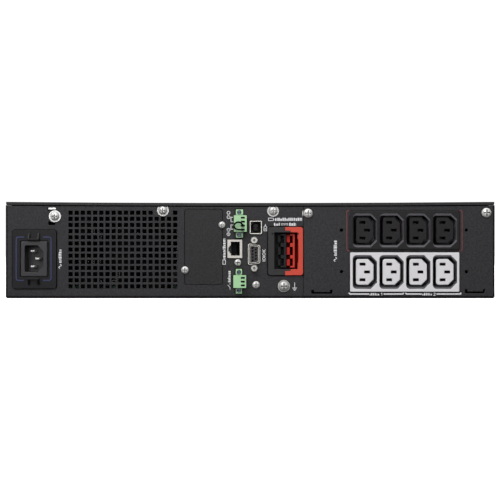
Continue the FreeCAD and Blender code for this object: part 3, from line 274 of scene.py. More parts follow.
# ------------------------------------------------------------------ material recipes
def powder(name, colour, rough, wear_and_highlight=0.25):
    """Fine-textured powder coat: orange peel, grain, clouding and chipped edges, with painted
    shade on the rear bends, the bottom edge, the inside of the case and in creases.
    """
    m = Surface(name)
    m.soften(radius=0.0005)
    grain = m.noise(2300, detail=2, roughness=0.6)
    paint = m.mottle(colour, 0.86, 1.14, scale=38, detail=3)
    paint = m.tint(paint, grain, 0.5, scaled(colour, 1.55))
    fleck = m.map_range(m.noise(640, detail=4, roughness=0.8), 0.36, 0.64)
    paint = m.mix(fleck, m.mix(0.85, paint, scaled(colour, 0.45)),
                  m.mix(0.85, paint, scaled(colour, 1.65)))

    x, y, z = m.split(m.coords)
    normal_x = m.split(m.face_normal())[0]
    rim = (REAR - 2.7) * MM

    # painted shade: sideways-facing surfaces at both ends of the rear darkened, as the bends there
    # fall into shadow
    bend = m.map_range(m.size(normal_x), 0.12, 0.55)
    ends = m.product(m.over(y, rim), m.over(m.size(x), 216.5 * MM))
    paint = m.tint(paint, m.product(bend, ends), 0.93, scaled(colour, 0.06))
    # painted shade: outermost strip at the +X end darkened as a bend in shadow
    strip = m.product(m.over(y, rim), m.over(x, 218.1 * MM))
    paint = m.tint(paint, strip, 0.9, scaled(colour, 0.10))
    # painted shade: bottom edge of the rear darkened, as it faces down away from the light
    foot = m.product(m.over(y, rim), m.under(z, -42.4 * MM))
    paint = m.tint(paint, foot, 0.45, scaled(colour, 0.2))
    # painted shade: surfaces just under the outer face, inside the case outline, darkened as if in
    # shadow
    inner = m.product(m.over(y, (REAR - 6) * MM), m.under(y, (REAR - 0.9) * MM),
                      m.under(m.size(x), 216.5 * MM),
                      m.under(z, 40.5 * MM), m.over(z, -42.2 * MM))
    paint = m.tint(paint, inner, 0.95, scaled(colour, 0.03))
    # painted shade: the inside of the case, further forward, darkened as if in shadow
    deep = m.product(m.under(y, (REAR - 2.6) * MM), m.over(y, 3 * MM),
                     m.under(m.size(x), 218.5 * MM),
                     m.product(m.over(z, -42.9 * MM), m.under(z, 40.5 * MM)))
    paint = m.tint(paint, deep, 0.85, scaled(colour, 0.05))

    chips = m.product(m.edge(radius=0.00035, gain=3.0), m.over(m.noise(900, detail=4), 0.52))
    paint = m.tint(paint, chips, wear_and_highlight, (0.30, 0.30, 0.31))
    m.colour(m.shade(paint, reach=0.0022, darkest=0.1, floor=0.35))
    m.roughness(rough, spread=0.07, scale=260)
    m.set(Specular_IOR_Level=0.33)
    m.bump(m.noise(620), strength=0.22, distance=0.00006)
    m.bump(grain, strength=0.30, distance=0.00004)
    return m.material


def plastic(name, colour, rough, grain=1500, relief=0.2, spec=0.45, wear_and_highlight=0.12):
    """Moulded plastic with spark-eroded grain, faint flow clouding, burnished edges that also
    serve as a painted highlight along rims, and painted shade in creases.
    """
    m = Surface(name)
    m.soften()
    body = m.mottle(colour, 0.92, 1.08, scale=70, detail=2)
    # edges lightened: partly burnished wear, partly a painted highlight along rims
    body = m.tint(body, m.edge(radius=0.0003, gain=2.0), wear_and_highlight, scaled(colour, 1.8))
    m.colour(m.shade(body, reach=0.002, darkest=0.2, floor=0.3))
    m.roughness(rough, spread=0.06, scale=500)
    m.set(Specular_IOR_Level=spec)
    m.bump(m.noise(grain, detail=3, roughness=0.6), strength=relief, distance=0.00005)
    return m.material


def metal(name, colour, rough, brush, relief=0.2, tarnish=0.3, wear_and_highlight=0.25, metallic=1.0):
    """Plated or rolled metal: brushing, clouded tarnish and rubbed bright edges."""
    m = Surface(name)
    body = m.tint(colour, m.noise(500, detail=4), tarnish * 2, scaled(colour, 0.55))
    body = m.tint(body, m.edge(radius=0.0002, gain=2.5), wear_and_highlight, (0.95, 0.95, 0.94))
    m.colour(m.shade(body, reach=0.0018, darkest=0.01, floor=0.48))
    m.set(Metallic=metallic)
    m.roughness(rough, spread=0.10, scale=900)
    m.bump(m.noise(brush), strength=relief, distance=0.00003)
    return m.material


def screw_metal(name, colour, reach, darkest):
    """Bright screw head with a deep recess, darkened as painted shade."""
    m = Surface(name)
    body = m.tint(colour, m.noise(700, detail=4), 0.3, scaled(colour, 0.5))
    body = m.tint(body, m.edge(radius=0.0002, gain=2.5), 0.3, (0.97, 0.97, 0.96))
    m.colour(m.shade(body, reach, darkest, floor=0.54, ceiling=0.86))
    m.set(Metallic=0.30)
    m.roughness(0.24, spread=0.10, scale=900)
    m.bump(m.noise(2600), strength=0.14, distance=0.00003)
    return m.material


def socket_plastic(name, colour, deep_colour, mouth_y, wear_and_highlight, deep_gloss=0.03):
    """Deep socket: full colour on the rim, sinking into shade behind the mouth."""
    m = Surface(name)
    m.soften()
    y = m.split(m.coords)[1]
    outside = m.map_range(y, (mouth_y - 1.6) * MM, (mouth_y + 0.3) * MM)
    rim = m.mottle(colour, 0.93, 1.07, scale=60, detail=3)
    # rim edges lightened: partly wear, partly a painted highlight
    rim = m.tint(rim, m.edge(radius=0.0003, gain=2.0), wear_and_highlight, scaled(colour, 1.7))
    m.colour(m.shade(m.mix(outside, deep_colour, rim), reach=0.003, darkest=0.05, floor=0.3))
    m.roughness(0.44, spread=0.06, scale=500)
    gloss = m.math("MULTIPLY_ADD", outside, 0.34, deep_gloss)
    m.feed(m.shader.inputs["Specular IOR Level"], gloss)
    m.bump(m.noise(1300, detail=3), strength=0.2, distance=0.00005)
    return m.material


def power_key_plastic(x_centre, z_centre):
    """Soft-touch key with a two-shot white on/off symbol moulded flush in its face."""
    ring_radius, half_stroke, half_gap = 3.2 * MM, 0.3 * MM, 1.55 * MM
    bar_bottom, bar_top = 0.6 * MM, 4.4 * MM
    m = Surface("power_key_two_shot")
    m.soften()
    x, _, z = m.split(m.coords)
    u = m.math("SUBTRACT", x, x_centre * MM)
    v = m.math("SUBTRACT", z, z_centre * MM)
    off_axis = m.size(u)
    radius = m.math("SQRT", m.math("ADD", m.product(u, u), m.product(v, v)))
    ring = m.under(m.size(m.math("SUBTRACT", radius, ring_radius)), half_stroke)
    gap = m.product(m.over(v, 0.0), m.under(off_axis, half_gap))
    ring = m.product(ring, m.math("SUBTRACT", 1.0, gap))
    bar = m.product(m.under(off_axis, half_stroke),
                    m.product(m.over(v, bar_bottom), m.under(v, bar_top)))
    symbol = m.math("MAXIMUM", ring, bar)
    body = m.mottle(KEY_COLOUR, 0.92, 1.08, scale=70, detail=2)
    body = m.mix(symbol, body, srgb(232, 232, 235))
    m.colour(m.shade(body, reach=0.002, darkest=0.2, floor=0.3))
    m.roughness(0.55, spread=0.06, scale=500)
    m.bump(m.noise(1800, detail=3, roughness=0.6), strength=0.3, distance=0.00005)
    return m.material


def terminal_plastic():
    m = Surface("terminal_green_polyamide")
    colour = srgb(176, 224, 170)
    body = m.mottle(colour, 0.90, 1.06, scale=160, detail=3)
    body = m.tint(body, m.edge(radius=0.0003, gain=2.5), 0.22, scaled(colour, 0.62))
    m.colour(m.shade(body, reach=0.0022, darkest=0.03, floor=0.42))
    m.roughness(0.40, spread=0.05, scale=500)
    m.set(Subsurface_Weight=0.05)
    m.bump(m.noise(1600), strength=0.15, distance=0.00004)
    return m.material


def outlet_plastic(name, face, ledge, well, wear_and_highlight, spec=0.45):
    """Outlet block: plain face, a satin lead-in ledge round each boss and a deep well, with
    painted light on the ledges and well floors, painted shade in the wells and a painted highlight
    on the edges.
    """
    m = Surface(name)
    m.soften()
    x, y, z = m.split(m.coords)

    def behind(offset):
        return m.over(y, (REAR + offset) * MM)

    face_tone = m.mottle(face, 0.95, 1.05, scale=60, detail=2)
    # edges of the face lightened: a painted highlight along rims, partly wear
    face_tone = m.tint(face_tone, m.edge(radius=0.0003, gain=2.0), wear_and_highlight, scaled(face, 1.9))
    ledge_tone = m.mottle(ledge, 0.80, 1.25, scale=160, detail=3)
    normal_z = m.split(m.face_normal())[2]
    # painted light: downward-facing ledge surfaces brightened 2.6 times, as if lit
    ledge_tone = m.mix(m.under(normal_z, -0.4), ledge_tone, scaled(ledge, 2.6))
    # near-black well tone: painted shade inside the deep sockets
    well_tone = m.mottle(well, 0.85, 1.15, scale=90, detail=2)

    # faces square to the opening keep the face colour (block face and boss ends)
    normal_y = m.split(m.face_normal())[1]
    flat = m.over(normal_y, 0.9)
    slope = m.product(behind(-0.22), m.math("SUBTRACT", 1.0, flat))

    # distances from the nearest boss centre
    half_pitch = BOSS_PITCH / 2 * MM
    across = m.math("WRAP", m.math("ADD", x, BOSS_SHIFT * MM), half_pitch, -half_pitch)
    boss_x = m.size(across)
    boss_z = m.math("MINIMUM", m.size(m.math("SUBTRACT", z, BOSS_UPPER_Z * MM)),
                    m.size(m.math("ADD", z, -BOSS_LOWER_Z * MM)))

    # painted light: well floors grade to the ledge tone, brightened 3.2 times, above, below and on
    # the -X side of the boss, as if lit
    out_x = m.math("SUBTRACT", m.product(across, -1.0), 8.3 * MM)
    out_z = m.math("SUBTRACT", boss_z, 12.1 * MM)
    outward = m.math("MAXIMUM", m.product(out_x, 0.6), out_z)
    grade = m.map_range(outward, -0.4 * MM, 2.1 * MM)
    well_tone = m.mix(grade, well_tone, scaled(ledge, 3.2))

    # surfaces behind the face, or not square to the opening, take the well tone as painted shade
    body = m.mix(m.product(behind(0.3), flat), well_tone, face_tone)
    body = m.mix(slope, body, ledge_tone)
    # the chamfered rims of the bosses keep the face colour
    boss = m.product(m.product(m.under(boss_x, 8.05 * MM), m.under(boss_z, 11.75 * MM)),
                     m.product(behind(0.38), m.over(normal_y, 0.3)))
    body = m.mix(boss, body, face_tone)
    m.colour(m.shade(body, reach=0.0016, darkest=0.4, floor=0.20))
    m.roughness(0.40, spread=0.05, scale=600)
    m.set(Specular_IOR_Level=spec)
    m.bump(m.noise(1500, detail=3), strength=0.18, distance=0.00004)
    return m.material


def circuit_board():
    """Green solder mask with a web of tracks and scattered pads."""
    m = Surface("circuit_board_mask")
    tracks = m.under(m.voronoi(260, "DISTANCE_TO_EDGE"), 0.06)
    pads = m.under(m.voronoi(420), 0.22)
    body = m.mix(m.noise(60), (0.005, 0.034, 0.016), (0.008, 0.048, 0.024))
    body = m.tint(body, tracks, 0.5, (0.015, 0.10, 0.045))
    m.colour(m.tint(body, pads, 0.6, (0.28, 0.25, 0.17)))
    m.roughness(0.32, spread=0.08, scale=700)
    m.bump(tracks, strength=0.2, distance=0.00004)
    return m.material


def capacitor_sleeve():
    """Dark blue sleeve with a pale stripe and a bare can top."""
    m = Surface("capacitor_sleeve")
    stripe = m.over(m.wave(9, "Y"), 0.93)
    top = m.over(m.split(m.coords)[2], 5.9 * MM)
    body = m.mix(m.noise(120), (0.010, 0.016, 0.055), (0.016, 0.024, 0.075))
    body = m.mix(stripe, body, (0.45, 0.46, 0.48))
    m.colour(m.mix(top, body, (0.30, 0.305, 0.31)))
    m.roughness(0.28, spread=0.05, scale=700)
    m.bump(m.noise(900), strength=0.1, distance=0.00004)
    return m.material


def copper_winding():
    m = Surface("varnished_copper_winding")
    turns = m.wave((1500, 1500, 400), "DIAGONAL", distortion=1.0)
    m.colour(m.mix(turns, (0.06, 0.018, 0.007), (0.20, 0.085, 0.03)))
    m.set(Metallic=0.65)
    m.roughness(0.34, spread=0.08, scale=700)
    m.bump(turns, strength=0.6, distance=0.0002)
    return m.material


def wire_insulation(name, colour):
    m = Surface(name)
    m.colour(m.mottle(colour, 0.75, 1.25, scale=240, detail=3))
    m.roughness(0.5, spread=0.08, scale=600)
    m.set(Specular_IOR_Level=0.12)
    m.bump(m.noise(1300, detail=3), strength=0.25, distance=0.00006)
    return m.material


def smoked_window():
    m = Surface("smoked_window")
    m.colour(m.mix(m.noise(40), (0.012, 0.015, 0.018), (0.018, 0.022, 0.026)))
    m.roughness(0.10, spread=0.04, scale=300)
    m.set(Coat_Weight=0.6, Coat_Roughness=0.05)
    m.bump(m.noise(90), strength=0.03, distance=0.0001)
    return m.material


def ink(name, colour):
    m = Surface(name)
    m.colour(m.mottle(colour, 0.88, 1.0, scale=900, detail=3))
    m.roughness(0.55, spread=0.06, scale=800)
    m.bump(m.noise(2200), strength=0.2, distance=0.00003)
    return m.material


def lamp(name, colour):
    m = Surface(name)
    m.colour(m.mottle(colour, 0.8, 1.0, scale=900, detail=2))
    m.roughness(0.2, spread=0.04, scale=900)
    m.set(Coat_Weight=0.5)
    m.bump(m.noise(1500), strength=0.05, distance=0.00003)
    return m.material


def film():
    """Display film with a fine grid of cells."""
    m = Surface("display_film")
    cells = m.over(m.math("MAXIMUM", m.wave(900, "X"), m.wave(900, "Z")), 0.96)
    body = m.mix(m.noise(30), (0.020, 0.035, 0.040), (0.030, 0.048, 0.054))
    m.colour(m.tint(body, cells, 0.35, (0.008, 0.012, 0.014)))
    m.roughness(0.25, spread=0.03, scale=500)
    m.bump(cells, strength=0.1, distance=0.00003)
    return m.material


def floor_matt():
    """Glows white to the camera and is nearly black to every other ray."""
    m = Surface("studio_floor_matt")
    m.colour(m.mix(m.noise(3), (0.90, 0.90, 0.90), (0.94, 0.94, 0.94)))
    m.roughness(0.9, spread=0.02, scale=40)
    m.set(Specular_IOR_Level=0.1, Emission_Strength=0.85, Emission_Color=(1, 1, 1, 1))
    dark = m.node("ShaderNodeBsdfDiffuse")
    dark.inputs["Color"].default_value = (0.05, 0.05, 0.05, 1)
    output = next(n for n in m.tree.nodes if n.type == "OUTPUT_MATERIAL")
    m.feed(output.inputs["Surface"], m.camera_switch(dark.outputs[0], m.shader.outputs[0]))
    return m.material


# ------------------------------------------------------------------ palette
CASE = powder("case_powder_coat", scaled(srgb(49, 47, 51), 0.69), rough=0.52)
LID = powder("lid_powder_coat", scaled(srgb(49, 48, 51), 0.66), rough=0.50)
INLET_PLATE = powder("inlet_plate_coat", scaled(srgb(27, 27, 35), 0.34), rough=0.50, wear_and_highlight=0.10)
COVER_PLATE = powder("slot_cover_coat", scaled(srgb(43, 41, 44), 0.66), rough=0.50, wear_and_highlight=0.15)

KEY_COLOUR = srgb(70, 72, 76)
BEZEL = plastic("bezel_plastic_grain", srgb(30, 30, 32), rough=0.50, grain=1300, relief=0.35)
HOUSING = plastic("display_housing_plastic", srgb(22, 22, 24), rough=0.38, grain=1700)
INLET = plastic("inlet_moulding", scaled(srgb(50, 47, 52), 0.8), rough=0.40, relief=0.15,
                spec=0.5, wear_and_highlight=0.3)
PORT = plastic("port_moulding", srgb(30, 29, 31), rough=0.40, spec=0.15)
SERIAL_FACE = plastic("nine_way_insert_moulding", srgb(72, 70, 72), rough=0.40, spec=0.2)
JACK = plastic("jack_moulding", srgb(10, 10, 11), rough=0.45, spec=0.10)
# near black: a black moulding darkened further as painted shade seen through the grille
FAN = plastic("fan_moulding", (0.0012, 0.0012, 0.0013), rough=0.62, grain=1200, spec=0.10)
RELAY = plastic("relay_moulding", srgb(30, 34, 44), rough=0.4, relief=0.15)
BATTERY = plastic("battery_case_abs", srgb(44, 45, 49), rough=0.5, grain=900, relief=0.3)
CONNECTOR = plastic("connector_grey_moulding", srgb(112, 114, 117), rough=0.42)
KEY = plastic("key_soft_touch", KEY_COLOUR, rough=0.6, grain=1800, relief=0.3)
POWER_KEY = power_key_plastic(POWER_KEY_X, POWER_KEY_Z)
SOCKET_BLACK = socket_plastic("battery_socket_black_moulding", scaled(srgb(39, 38, 40), 0.60),
                              srgb(36, 36, 38), mouth_y=REAR - 1.4, wear_and_highlight=0.3, deep_gloss=0.12)
SOCKET_RED = socket_plastic("battery_socket_red_moulding", scaled(srgb(230, 78, 57), 0.88),
                            srgb(192, 44, 38), mouth_y=REAR - 2.2, wear_and_highlight=0.15)
TERMINAL = terminal_plastic()
# well colours are painted shade; the charcoal block's ledge, lighter than its face, is a painted
# highlight
OUTLET_DARK = outlet_plastic("outlet_charcoal", face=srgb(23, 21, 24), ledge=srgb(92, 90, 94),
                             well=srgb(6, 6, 7), wear_and_highlight=0.6, spec=0.25)
OUTLET_LIGHT = outlet_plastic("outlet_pale_grey", face=srgb(232, 230, 233),
                              ledge=srgb(76, 76, 80), well=srgb(13, 13, 14), wear_and_highlight=0.1)

# brush is the grain frequency, one number or one for each of X, Y and Z
ZINC = metal("bright_zinc", (0.98, 0.97, 0.955), rough=0.22, brush=2600, relief=0.14,
             tarnish=0.10, metallic=0.30)
NICKEL = metal("nickel_blade", (0.92, 0.91, 0.88), rough=0.22, brush=(200, 3500, 3500),
               relief=0.1, tarnish=0.1, metallic=0.25)
EARTH = metal("earth_screw_zinc", (0.82, 0.81, 0.79), rough=0.36, brush=1800, relief=0.6,
              metallic=0.30)
SCREW = screw_metal("pan_head_zinc", (0.98, 0.97, 0.955), reach=0.0022, darkest=0.02)
JACKSCREW = screw_metal("jackscrew_zinc", (0.60, 0.585, 0.55), reach=0.0012, darkest=0.04)
SHELL = metal("plated_shell_bright", (0.92, 0.89, 0.82), rough=0.30, brush=(2400, 300, 2400),
              tarnish=0.12, metallic=0.35)
TIN = metal("tinned_shell", (0.60, 0.575, 0.53), rough=0.34, brush=(2400, 300, 2400),
            tarnish=0.2, metallic=0.55)
# brass darkened nearly to black as painted shade, the contacts lying deep in their sockets
BRASS = metal("brass_contact", (0.060, 0.048, 0.030), rough=0.42, brush=(2400, 300, 2400))
TRAY = metal("zinc_plated_sheet", (0.55, 0.56, 0.57), rough=0.42, brush=(60, 900, 900),
             relief=0.15, tarnish=0.35, wear_and_highlight=0.15)
ALUMINIUM = metal("extruded_aluminium", (0.34, 0.345, 0.35), rough=0.46,
                  brush=(2500, 40, 2500), relief=0.25, tarnish=0.15)
PLUG_SCREW = metal("terminal_screw_steel", (0.13, 0.15, 0.20), rough=0.35, brush=1500)
BLACK_OXIDE = metal("black_oxide", (0.05, 0.05, 0.052), rough=0.38, brush=1500, wear_and_highlight=0.12)
BARE = metal("bare_metal_ring", (0.80, 0.79, 0.77), rough=0.36, brush=1600, relief=0.3,
             tarnish=0.25, metallic=0.3)

BOARD = circuit_board()
SLEEVE = capacitor_sleeve()
COPPER = copper_winding()
WIRE_BLACK = wire_insulation("wire_black_insulation", (0.006, 0.006, 0.0065))
WIRE_RED = wire_insulation("wire_red_insulation", (0.36, 0.015, 0.012))
GLASS = smoked_window()
INK_WHITE = ink("ink_white", srgb(248, 247, 250))
INK_BLUE = ink("ink_blue", srgb(54, 60, 110))
INK_RED = ink("ink_red", srgb(138, 62, 60))
ink("ink_dark", srgb(20, 20, 22))               # spare ink, on no part
LAMP_GREEN = lamp("lamp_green", (0.03, 0.30, 0.06))
LAMP_AMBER = lamp("lamp_amber", (0.55, 0.24, 0.02))
LAMP_RED = lamp("lamp_red", (0.45, 0.02, 0.02))

# material, the CAD pieces that wear it
PIECES = (
    (CASE, "chassis_base rear_panel output_panel rack_ears"),
    (LID, "top_cover"),
    (COVER_PLATE, "slot_cover"),
    (INLET_PLATE, "inlet_plate"),
    (INLET, "inlet_housing"),
    (NICKEL, "inlet_pins"),
    (OUTLET_DARK, "outlet_block_dark"),
    (OUTLET_LIGHT, "outlet_block_light"),
    (BRASS, "outlet_contacts battery_socket_contacts port_contacts"),
    (SOCKET_BLACK, "battery_socket_black"),
    (SOCKET_RED, "battery_socket_red"),
    (TIN, "data_jack_shell"),
    (JACK, "data_jack_insert"),
    (SHELL, "usb_shell serial_shell"),
    (PORT, "usb_insert terminal_headers"),
    (SERIAL_FACE, "serial_insert"),
    (JACKSCREW, "serial_jackscrews"),
    (TERMINAL, "remote_plug relay_plug"),
    (PLUG_SCREW, "remote_plug_screws relay_plug_screws"),
    (WIRE_BLACK, "jumper_wire wiring_harness"),
    (WIRE_RED, "battery_leads"),
    (BOARD, "comm_board main_board display_board"),
    (SCREW, "rear_screws panel_screws"),
    (EARTH, "ground_screw"),
    (FAN, "fan_frame fan_rotor"),
    (ALUMINIUM, "heatsinks"),
    (SLEEVE, "capacitors"),
    (COPPER, "inductors transformer"),
    (RELAY, "relays"),
    (TRAY, "battery_tray"),
    (BATTERY, "battery_blocks"),
    (CONNECTOR, "battery_plug battery_receptacle"),
    (ZINC, "thumbscrew_left thumbscrew_right"),
    (BEZEL, "access_cover front_bezel"),
    (HOUSING, "display_housing"),
    (GLASS, "display_window"),
    (POWER_KEY, "power_button"),
    (KEY, "escape_button up_button down_button enter_button"),
    (BLACK_OXIDE, "body_screws"),
)
material_of = {piece: material for material, names in PIECES for piece in names.split()}
for name, piece in nodes.items():
    if not piece.material_slots:
        piece.data.materials.append(material_of[name])
    for slot in piece.material_slots:
        slot.material = material_of[name]


# ------------------------------------------------------------------ mesh helpers (mm in)
def add_object(name, bm, material):
    mesh = bpy.data.meshes.new(name)
    bm.to_mesh(mesh)
    bm.free()
    mesh.materials.append(material)
    obj = bpy.data.objects.new(name, mesh)
    scene.collection.objects.link(obj)
    return obj


def add_part(name, bm, material, body, smooth=False):
    bmesh.ops.recalc_face_normals(bm, faces=bm.faces)
    obj = add_object(name, bm, material)
    for face in obj.data.polygons:
        face.use_smooth = smooth
    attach(obj, body)


def add_verts(bm, outline, y):
    return [bm.verts.new((x * MM, y * MM, z * MM)) for x, z in outline]


def add_prism(bm, outline, y0, y1):
    """Closed prism over an (x, z) polygon."""
    near = add_verts(bm, outline, y0)
    far = add_verts(bm, outline, y1)
    bm.faces.new(near)
    bm.faces.new(far[::-1])
    for i in range(len(outline)):
        j = (i + 1) % len(outline)
        bm.faces.new((near[i], far[i], far[j], near[j]))


def add_tube_faces(bm, left0, right0, left1, right1, closed):
    """Four-sided skin between two edge lines at each of two depths."""
    count = len(left0)
    for i in range(count if closed else count - 1):
        j = (i + 1) % count
        bm.faces.new((left1[i], right1[i], right1[j], left1[j]))
        bm.faces.new((left0[i], left0[j], right0[j], right0[i]))
        bm.faces.new((left0[i], left1[i], left1[j], left0[j]))
        bm.faces.new((right0[i], right0[j], right1[j], right1[i]))


def add_band(bm, path, width, y0, y1, closed=False):
    """Raised band along an (x, z) path, mitred at the corners."""
    points = [Vector(point) for point in path]
    last = len(points) - 1
    legs = [(points[(i + 1) % len(points)] - point).normalized()
            for i, point in enumerate(points)]
    left, right = [], []
    for i, point in enumerate(points):
        before = legs[i - 1] if closed or i > 0 else legs[0]
        after = legs[i] if closed or i < last else legs[i - 1]
        along = before + after
        along = along.normalized() if along.length > 1e-6 else before
        across = Vector((-along.y, along.x))
        reach = width / 2 / max(0.5, across.dot(Vector((-before.y, before.x))))
        left.append(point + across * reach)
        right.append(point - across * reach)
    left0, right0 = add_verts(bm, left, y0), add_verts(bm, right, y0)
    left1, right1 = add_verts(bm, left, y1), add_verts(bm, right, y1)
    add_tube_faces(bm, left0, right0, left1, right1, closed)
    if not closed:
        bm.faces.new((left0[0], right0[0], right1[0], left1[0]))
        bm.faces.new((left0[-1], left1[-1], right1[-1], right0[-1]))


def full_turn(start, end):
    return abs(end - start) >= 359.9


def circle(x, z, radius, steps, start=0.0, end=360.0):
    """Points on a circle, or on an arc with both its ends; angles in degrees."""
    count = steps if full_turn(start, end) else steps + 1
    angles = [math.radians(start + (end - start) * i / steps) for i in range(count)]
    return [(x + radius * math.cos(a), z + radius * math.sin(a)) for a in angles]


# ------------------------------------------------------------------ printed marks
class Mark:
    """Silk-screen mark drawn in (u, v) mm about a place on the case.

    facing 1 is read from behind, with u towards -X; facing -1 is read from the front.
    A mark that reads up has u along +Z.
    """

    def __init__(self, name, x=0, z=0, reads_up=False, colour=INK_WHITE, y=REAR,
                 slot="case_paint", body="chassis", facing=1):
        self.bm = bmesh.new()
        self.name, self.colour, self.slot, self.body = name, colour, slot, body
        self.x, self.z, self.reads_up, self.facing = x, z, reads_up, facing
        self.depth = sorted((y - SINK * facing, y + INK_RISE * facing))

    def place(self, points):
        if self.reads_up:
            return [(self.x + v * self.facing, self.z + u) for u, v in points]
        return [(self.x - u * self.facing, self.z + v) for u, v in points]

    def band(self, path, width, closed=False):
        """Stroke along a path given in (x, z) of the case."""
        add_band(self.bm, path, width, *self.depth, closed)

    def line(self, points, width=0.5, closed=False):
        self.band(self.place(points), width, closed)
        return self

    def area(self, points):
        add_prism(self.bm, self.place(points), *self.depth)
        return self

    def dot(self, u, v, radius):
        return self.area(circle(u, v, radius, 14))

    def ring(self, u, radius, width, start=0, end=360):
        points = circle(u, 0, radius, 28, start, end)
        return self.line(points, width, full_turn(start, end))

    def bars(self, start, end, height, seed):
        """A caption's place holder: a row of plain bars of uneven width and height."""
        gap, shortest_rest = 0.5, 0.4
        u, draw = start, seed
        while u < end - shortest_rest:
            draw = (draw * 1103515245 + 12345) % 2147483648
            width = min(0.62 + 0.85 * ((draw >> 8) % 100) / 100, end - u)
            tall = height * (0.72 + 0.28 * ((draw >> 16) % 3) / 2)
            low, high = -height / 2, -height / 2 + tall
            self.area([(u, low), (u + width, low), (u + width, high), (u, high)])
            u += width + gap
        return self

    def alternating(self, start, end, amplitude):
        """Alternating-current sign: one sine wave."""
        steps = 24
        return self.line([(start + (end - start) * i / steps,
                           amplitude * math.sin(2 * math.pi * i / steps))
                          for i in range(steps + 1)], 0.62)

    def cell(self, start, end, half_height):
        """Battery outline with a short terminal beyond its end."""
        low, high, tip = -half_height, half_height, end + 0.4
        self.line([(start, low), (end, low), (end, high), (start, high)], closed=True)
        return self.line([(tip, -0.5), (tip, 0.5)])

    def on_symbol(self, u):
        """Ring open at the top with an upright stroke in the gap."""
        return self.ring(u, 1.35, 0.5, 120, 420).line([(u, 0.2), (u, 1.8)])

    def done(self):
        add_part(self.name, self.bm, self.colour, self.body)


def bracket(side, tip_x, spine_x, top, bottom, radius):
    """Square bracket with rounded corners; side 1 has its spine towards +X."""
    corner_x = spine_x - side * radius
    lower_start, lower_end = (0, -90) if side > 0 else (180, 270)
    return ([(tip_x, top), (corner_x, top)]
            + circle(corner_x, top - radius, radius, 6, 90, 90 - side * 90)[1:-1]
            + [(spine_x, top - radius), (spine_x, bottom + radius)]
            + circle(corner_x, bottom + radius, radius, 6, lower_start, lower_end)[1:-1]
            + [(corner_x, bottom), (tip_x, bottom)])


# mains captions
mark = Mark("mark_mains_in", x=170.7, z=-8.2, reads_up=True)
mark.alternating(-8.4, -4.6, 1.1).bars(-3.4, 8.6, 2.7, seed=11).done()
mark = Mark("mark_mains_out", x=-76.4, z=-1.0, reads_up=True)
mark.alternating(-9.4, -5.4, 1.15).bars(-4.2, 9.4, 2.8, seed=5).done()

# on/off and cut-off marks of the remote terminals
mark = Mark("mark_remote_on", x=19.5, z=31.4, reads_up=True)
mark.on_symbol(-2.0).ring(1.9, 1.35, 0.5).done()
mark = Mark("mark_remote_off", x=19.5, z=16.0, reads_up=True)
mark.ring(-1.9, 1.35, 0.5).line([(-2.9, -0.9), (-0.9, 0.9)], 0.45).on_symbol(2.0).done()
mark = Mark("mark_remote_brackets")
for bottom, top in ((25.3, 29.3), (18.6, 22.4)):
    mark.band([(15.3, bottom), (17.3, bottom), (17.3, top), (15.3, top)], 0.55)
mark.done()

# battery sensing caption beside the data jack
mark = Mark("mark_battery_sense", x=23.4, z=-1.6, reads_up=True)
mark.cell(-11.3, -7.4, 1.2).bars(-6.2, 11.6, 2.5, seed=23).done()

# signal ports: a plug shape, and alternate ones and noughts
mark = Mark("mark_usb_port", x=-13.6, z=19.9, reads_up=True)
mark.line([(-2.8, -1.2), (-2.8, 1.2), (0.6, 1.2), (1.7, 0.5), (1.7, -0.5), (0.6, -1.2)],
          closed=True)
mark.line([(1.9, 0), (3.2, 0)]).dot(-1.1, 0, 0.5).done()
mark = Mark("mark_serial_port", x=-12.3, z=-4.6, reads_up=True)
for one_u, nought_u, nought_arc in ((-5.4, -3.3, (0, 360)), (-1.2, 0.9, (0, 360)),
                                    (3.0, 5.0, (90, 270))):
    mark.line([(one_u, -1.25), (one_u, 1.25)]).ring(nought_u, 1.2, 0.45, *nought_arc)
mark.done()

# relay contact: an open switch
mark = Mark("mark_relay_contact", x=18.9, z=-27.0, reads_up=True)
mark.line([(-8.6, -0.8), (-7.0, -0.8)]).line([(-7.0, -0.8), (-4.4, 1.1)])
mark.dot(-7.0, -0.8, 0.45).line([(-4.2, -0.8), (-2.8, -0.8)])
mark.bars(-2.0, 8.9, 2.6, seed=41).done()

# battery connector captions: cell symbol above, direct-current sign below
mark = Mark("mark_battery_symbol", x=-31.4, z=27.4)
mark.cell(-15.0, -10.6, 1.15).bars(-9.2, 15.3, 2.7, seed=7).done()
mark = Mark("mark_direct_current", x=-31.2, z=22.95)
mark.bars(-9.9, -4.6, 2.6, seed=3).line([(-3.6, 0.5), (2.9, 0.5)], 0.42)
for dash_u in (-3.6, -1.2, 1.2):
    mark.line([(dash_u, -0.55), (dash_u + 1.7, -0.55)], 0.42)
mark.bars(3.8, 9.9, 2.6, seed=17).done()

# protective earth: a stem over three shortening bars
mark = Mark("mark_earth", x=-39.9, z=-33.2)
mark.line([(0, 3.9), (0, -0.9)])
for half_width, v in ((2.1, -1.0), (1.35, -2.1), (0.6, -3.2)):
    mark.line([(-half_width, v), (half_width, v)], 0.55)
mark.done()

# blue brackets round the inlet, on its raised plate
mark = Mark("mark_inlet_brackets", colour=INK_BLUE, y=REAR + 1.3)
for side, tip_x, spine_x in ((1, 202.8, 209.8), (-1, 185.6, 178.55)):
    mark.band(bracket(side, tip_x, spine_x, top=11.5, bottom=-27.3, radius=1.8), 0.85)
mark.done()

# red brackets beside the switched outlets
mark = Mark("mark_outlet_brackets_red", colour=INK_RED)
for side, spine_x in ((1, -86.7), (-1, -190.2)):
    tip_x = spine_x - side * 2.6
    mark.band(bracket(side, tip_x, spine_x, top=35.4, bottom=-0.9, radius=1.6), 0.55)
mark.done()

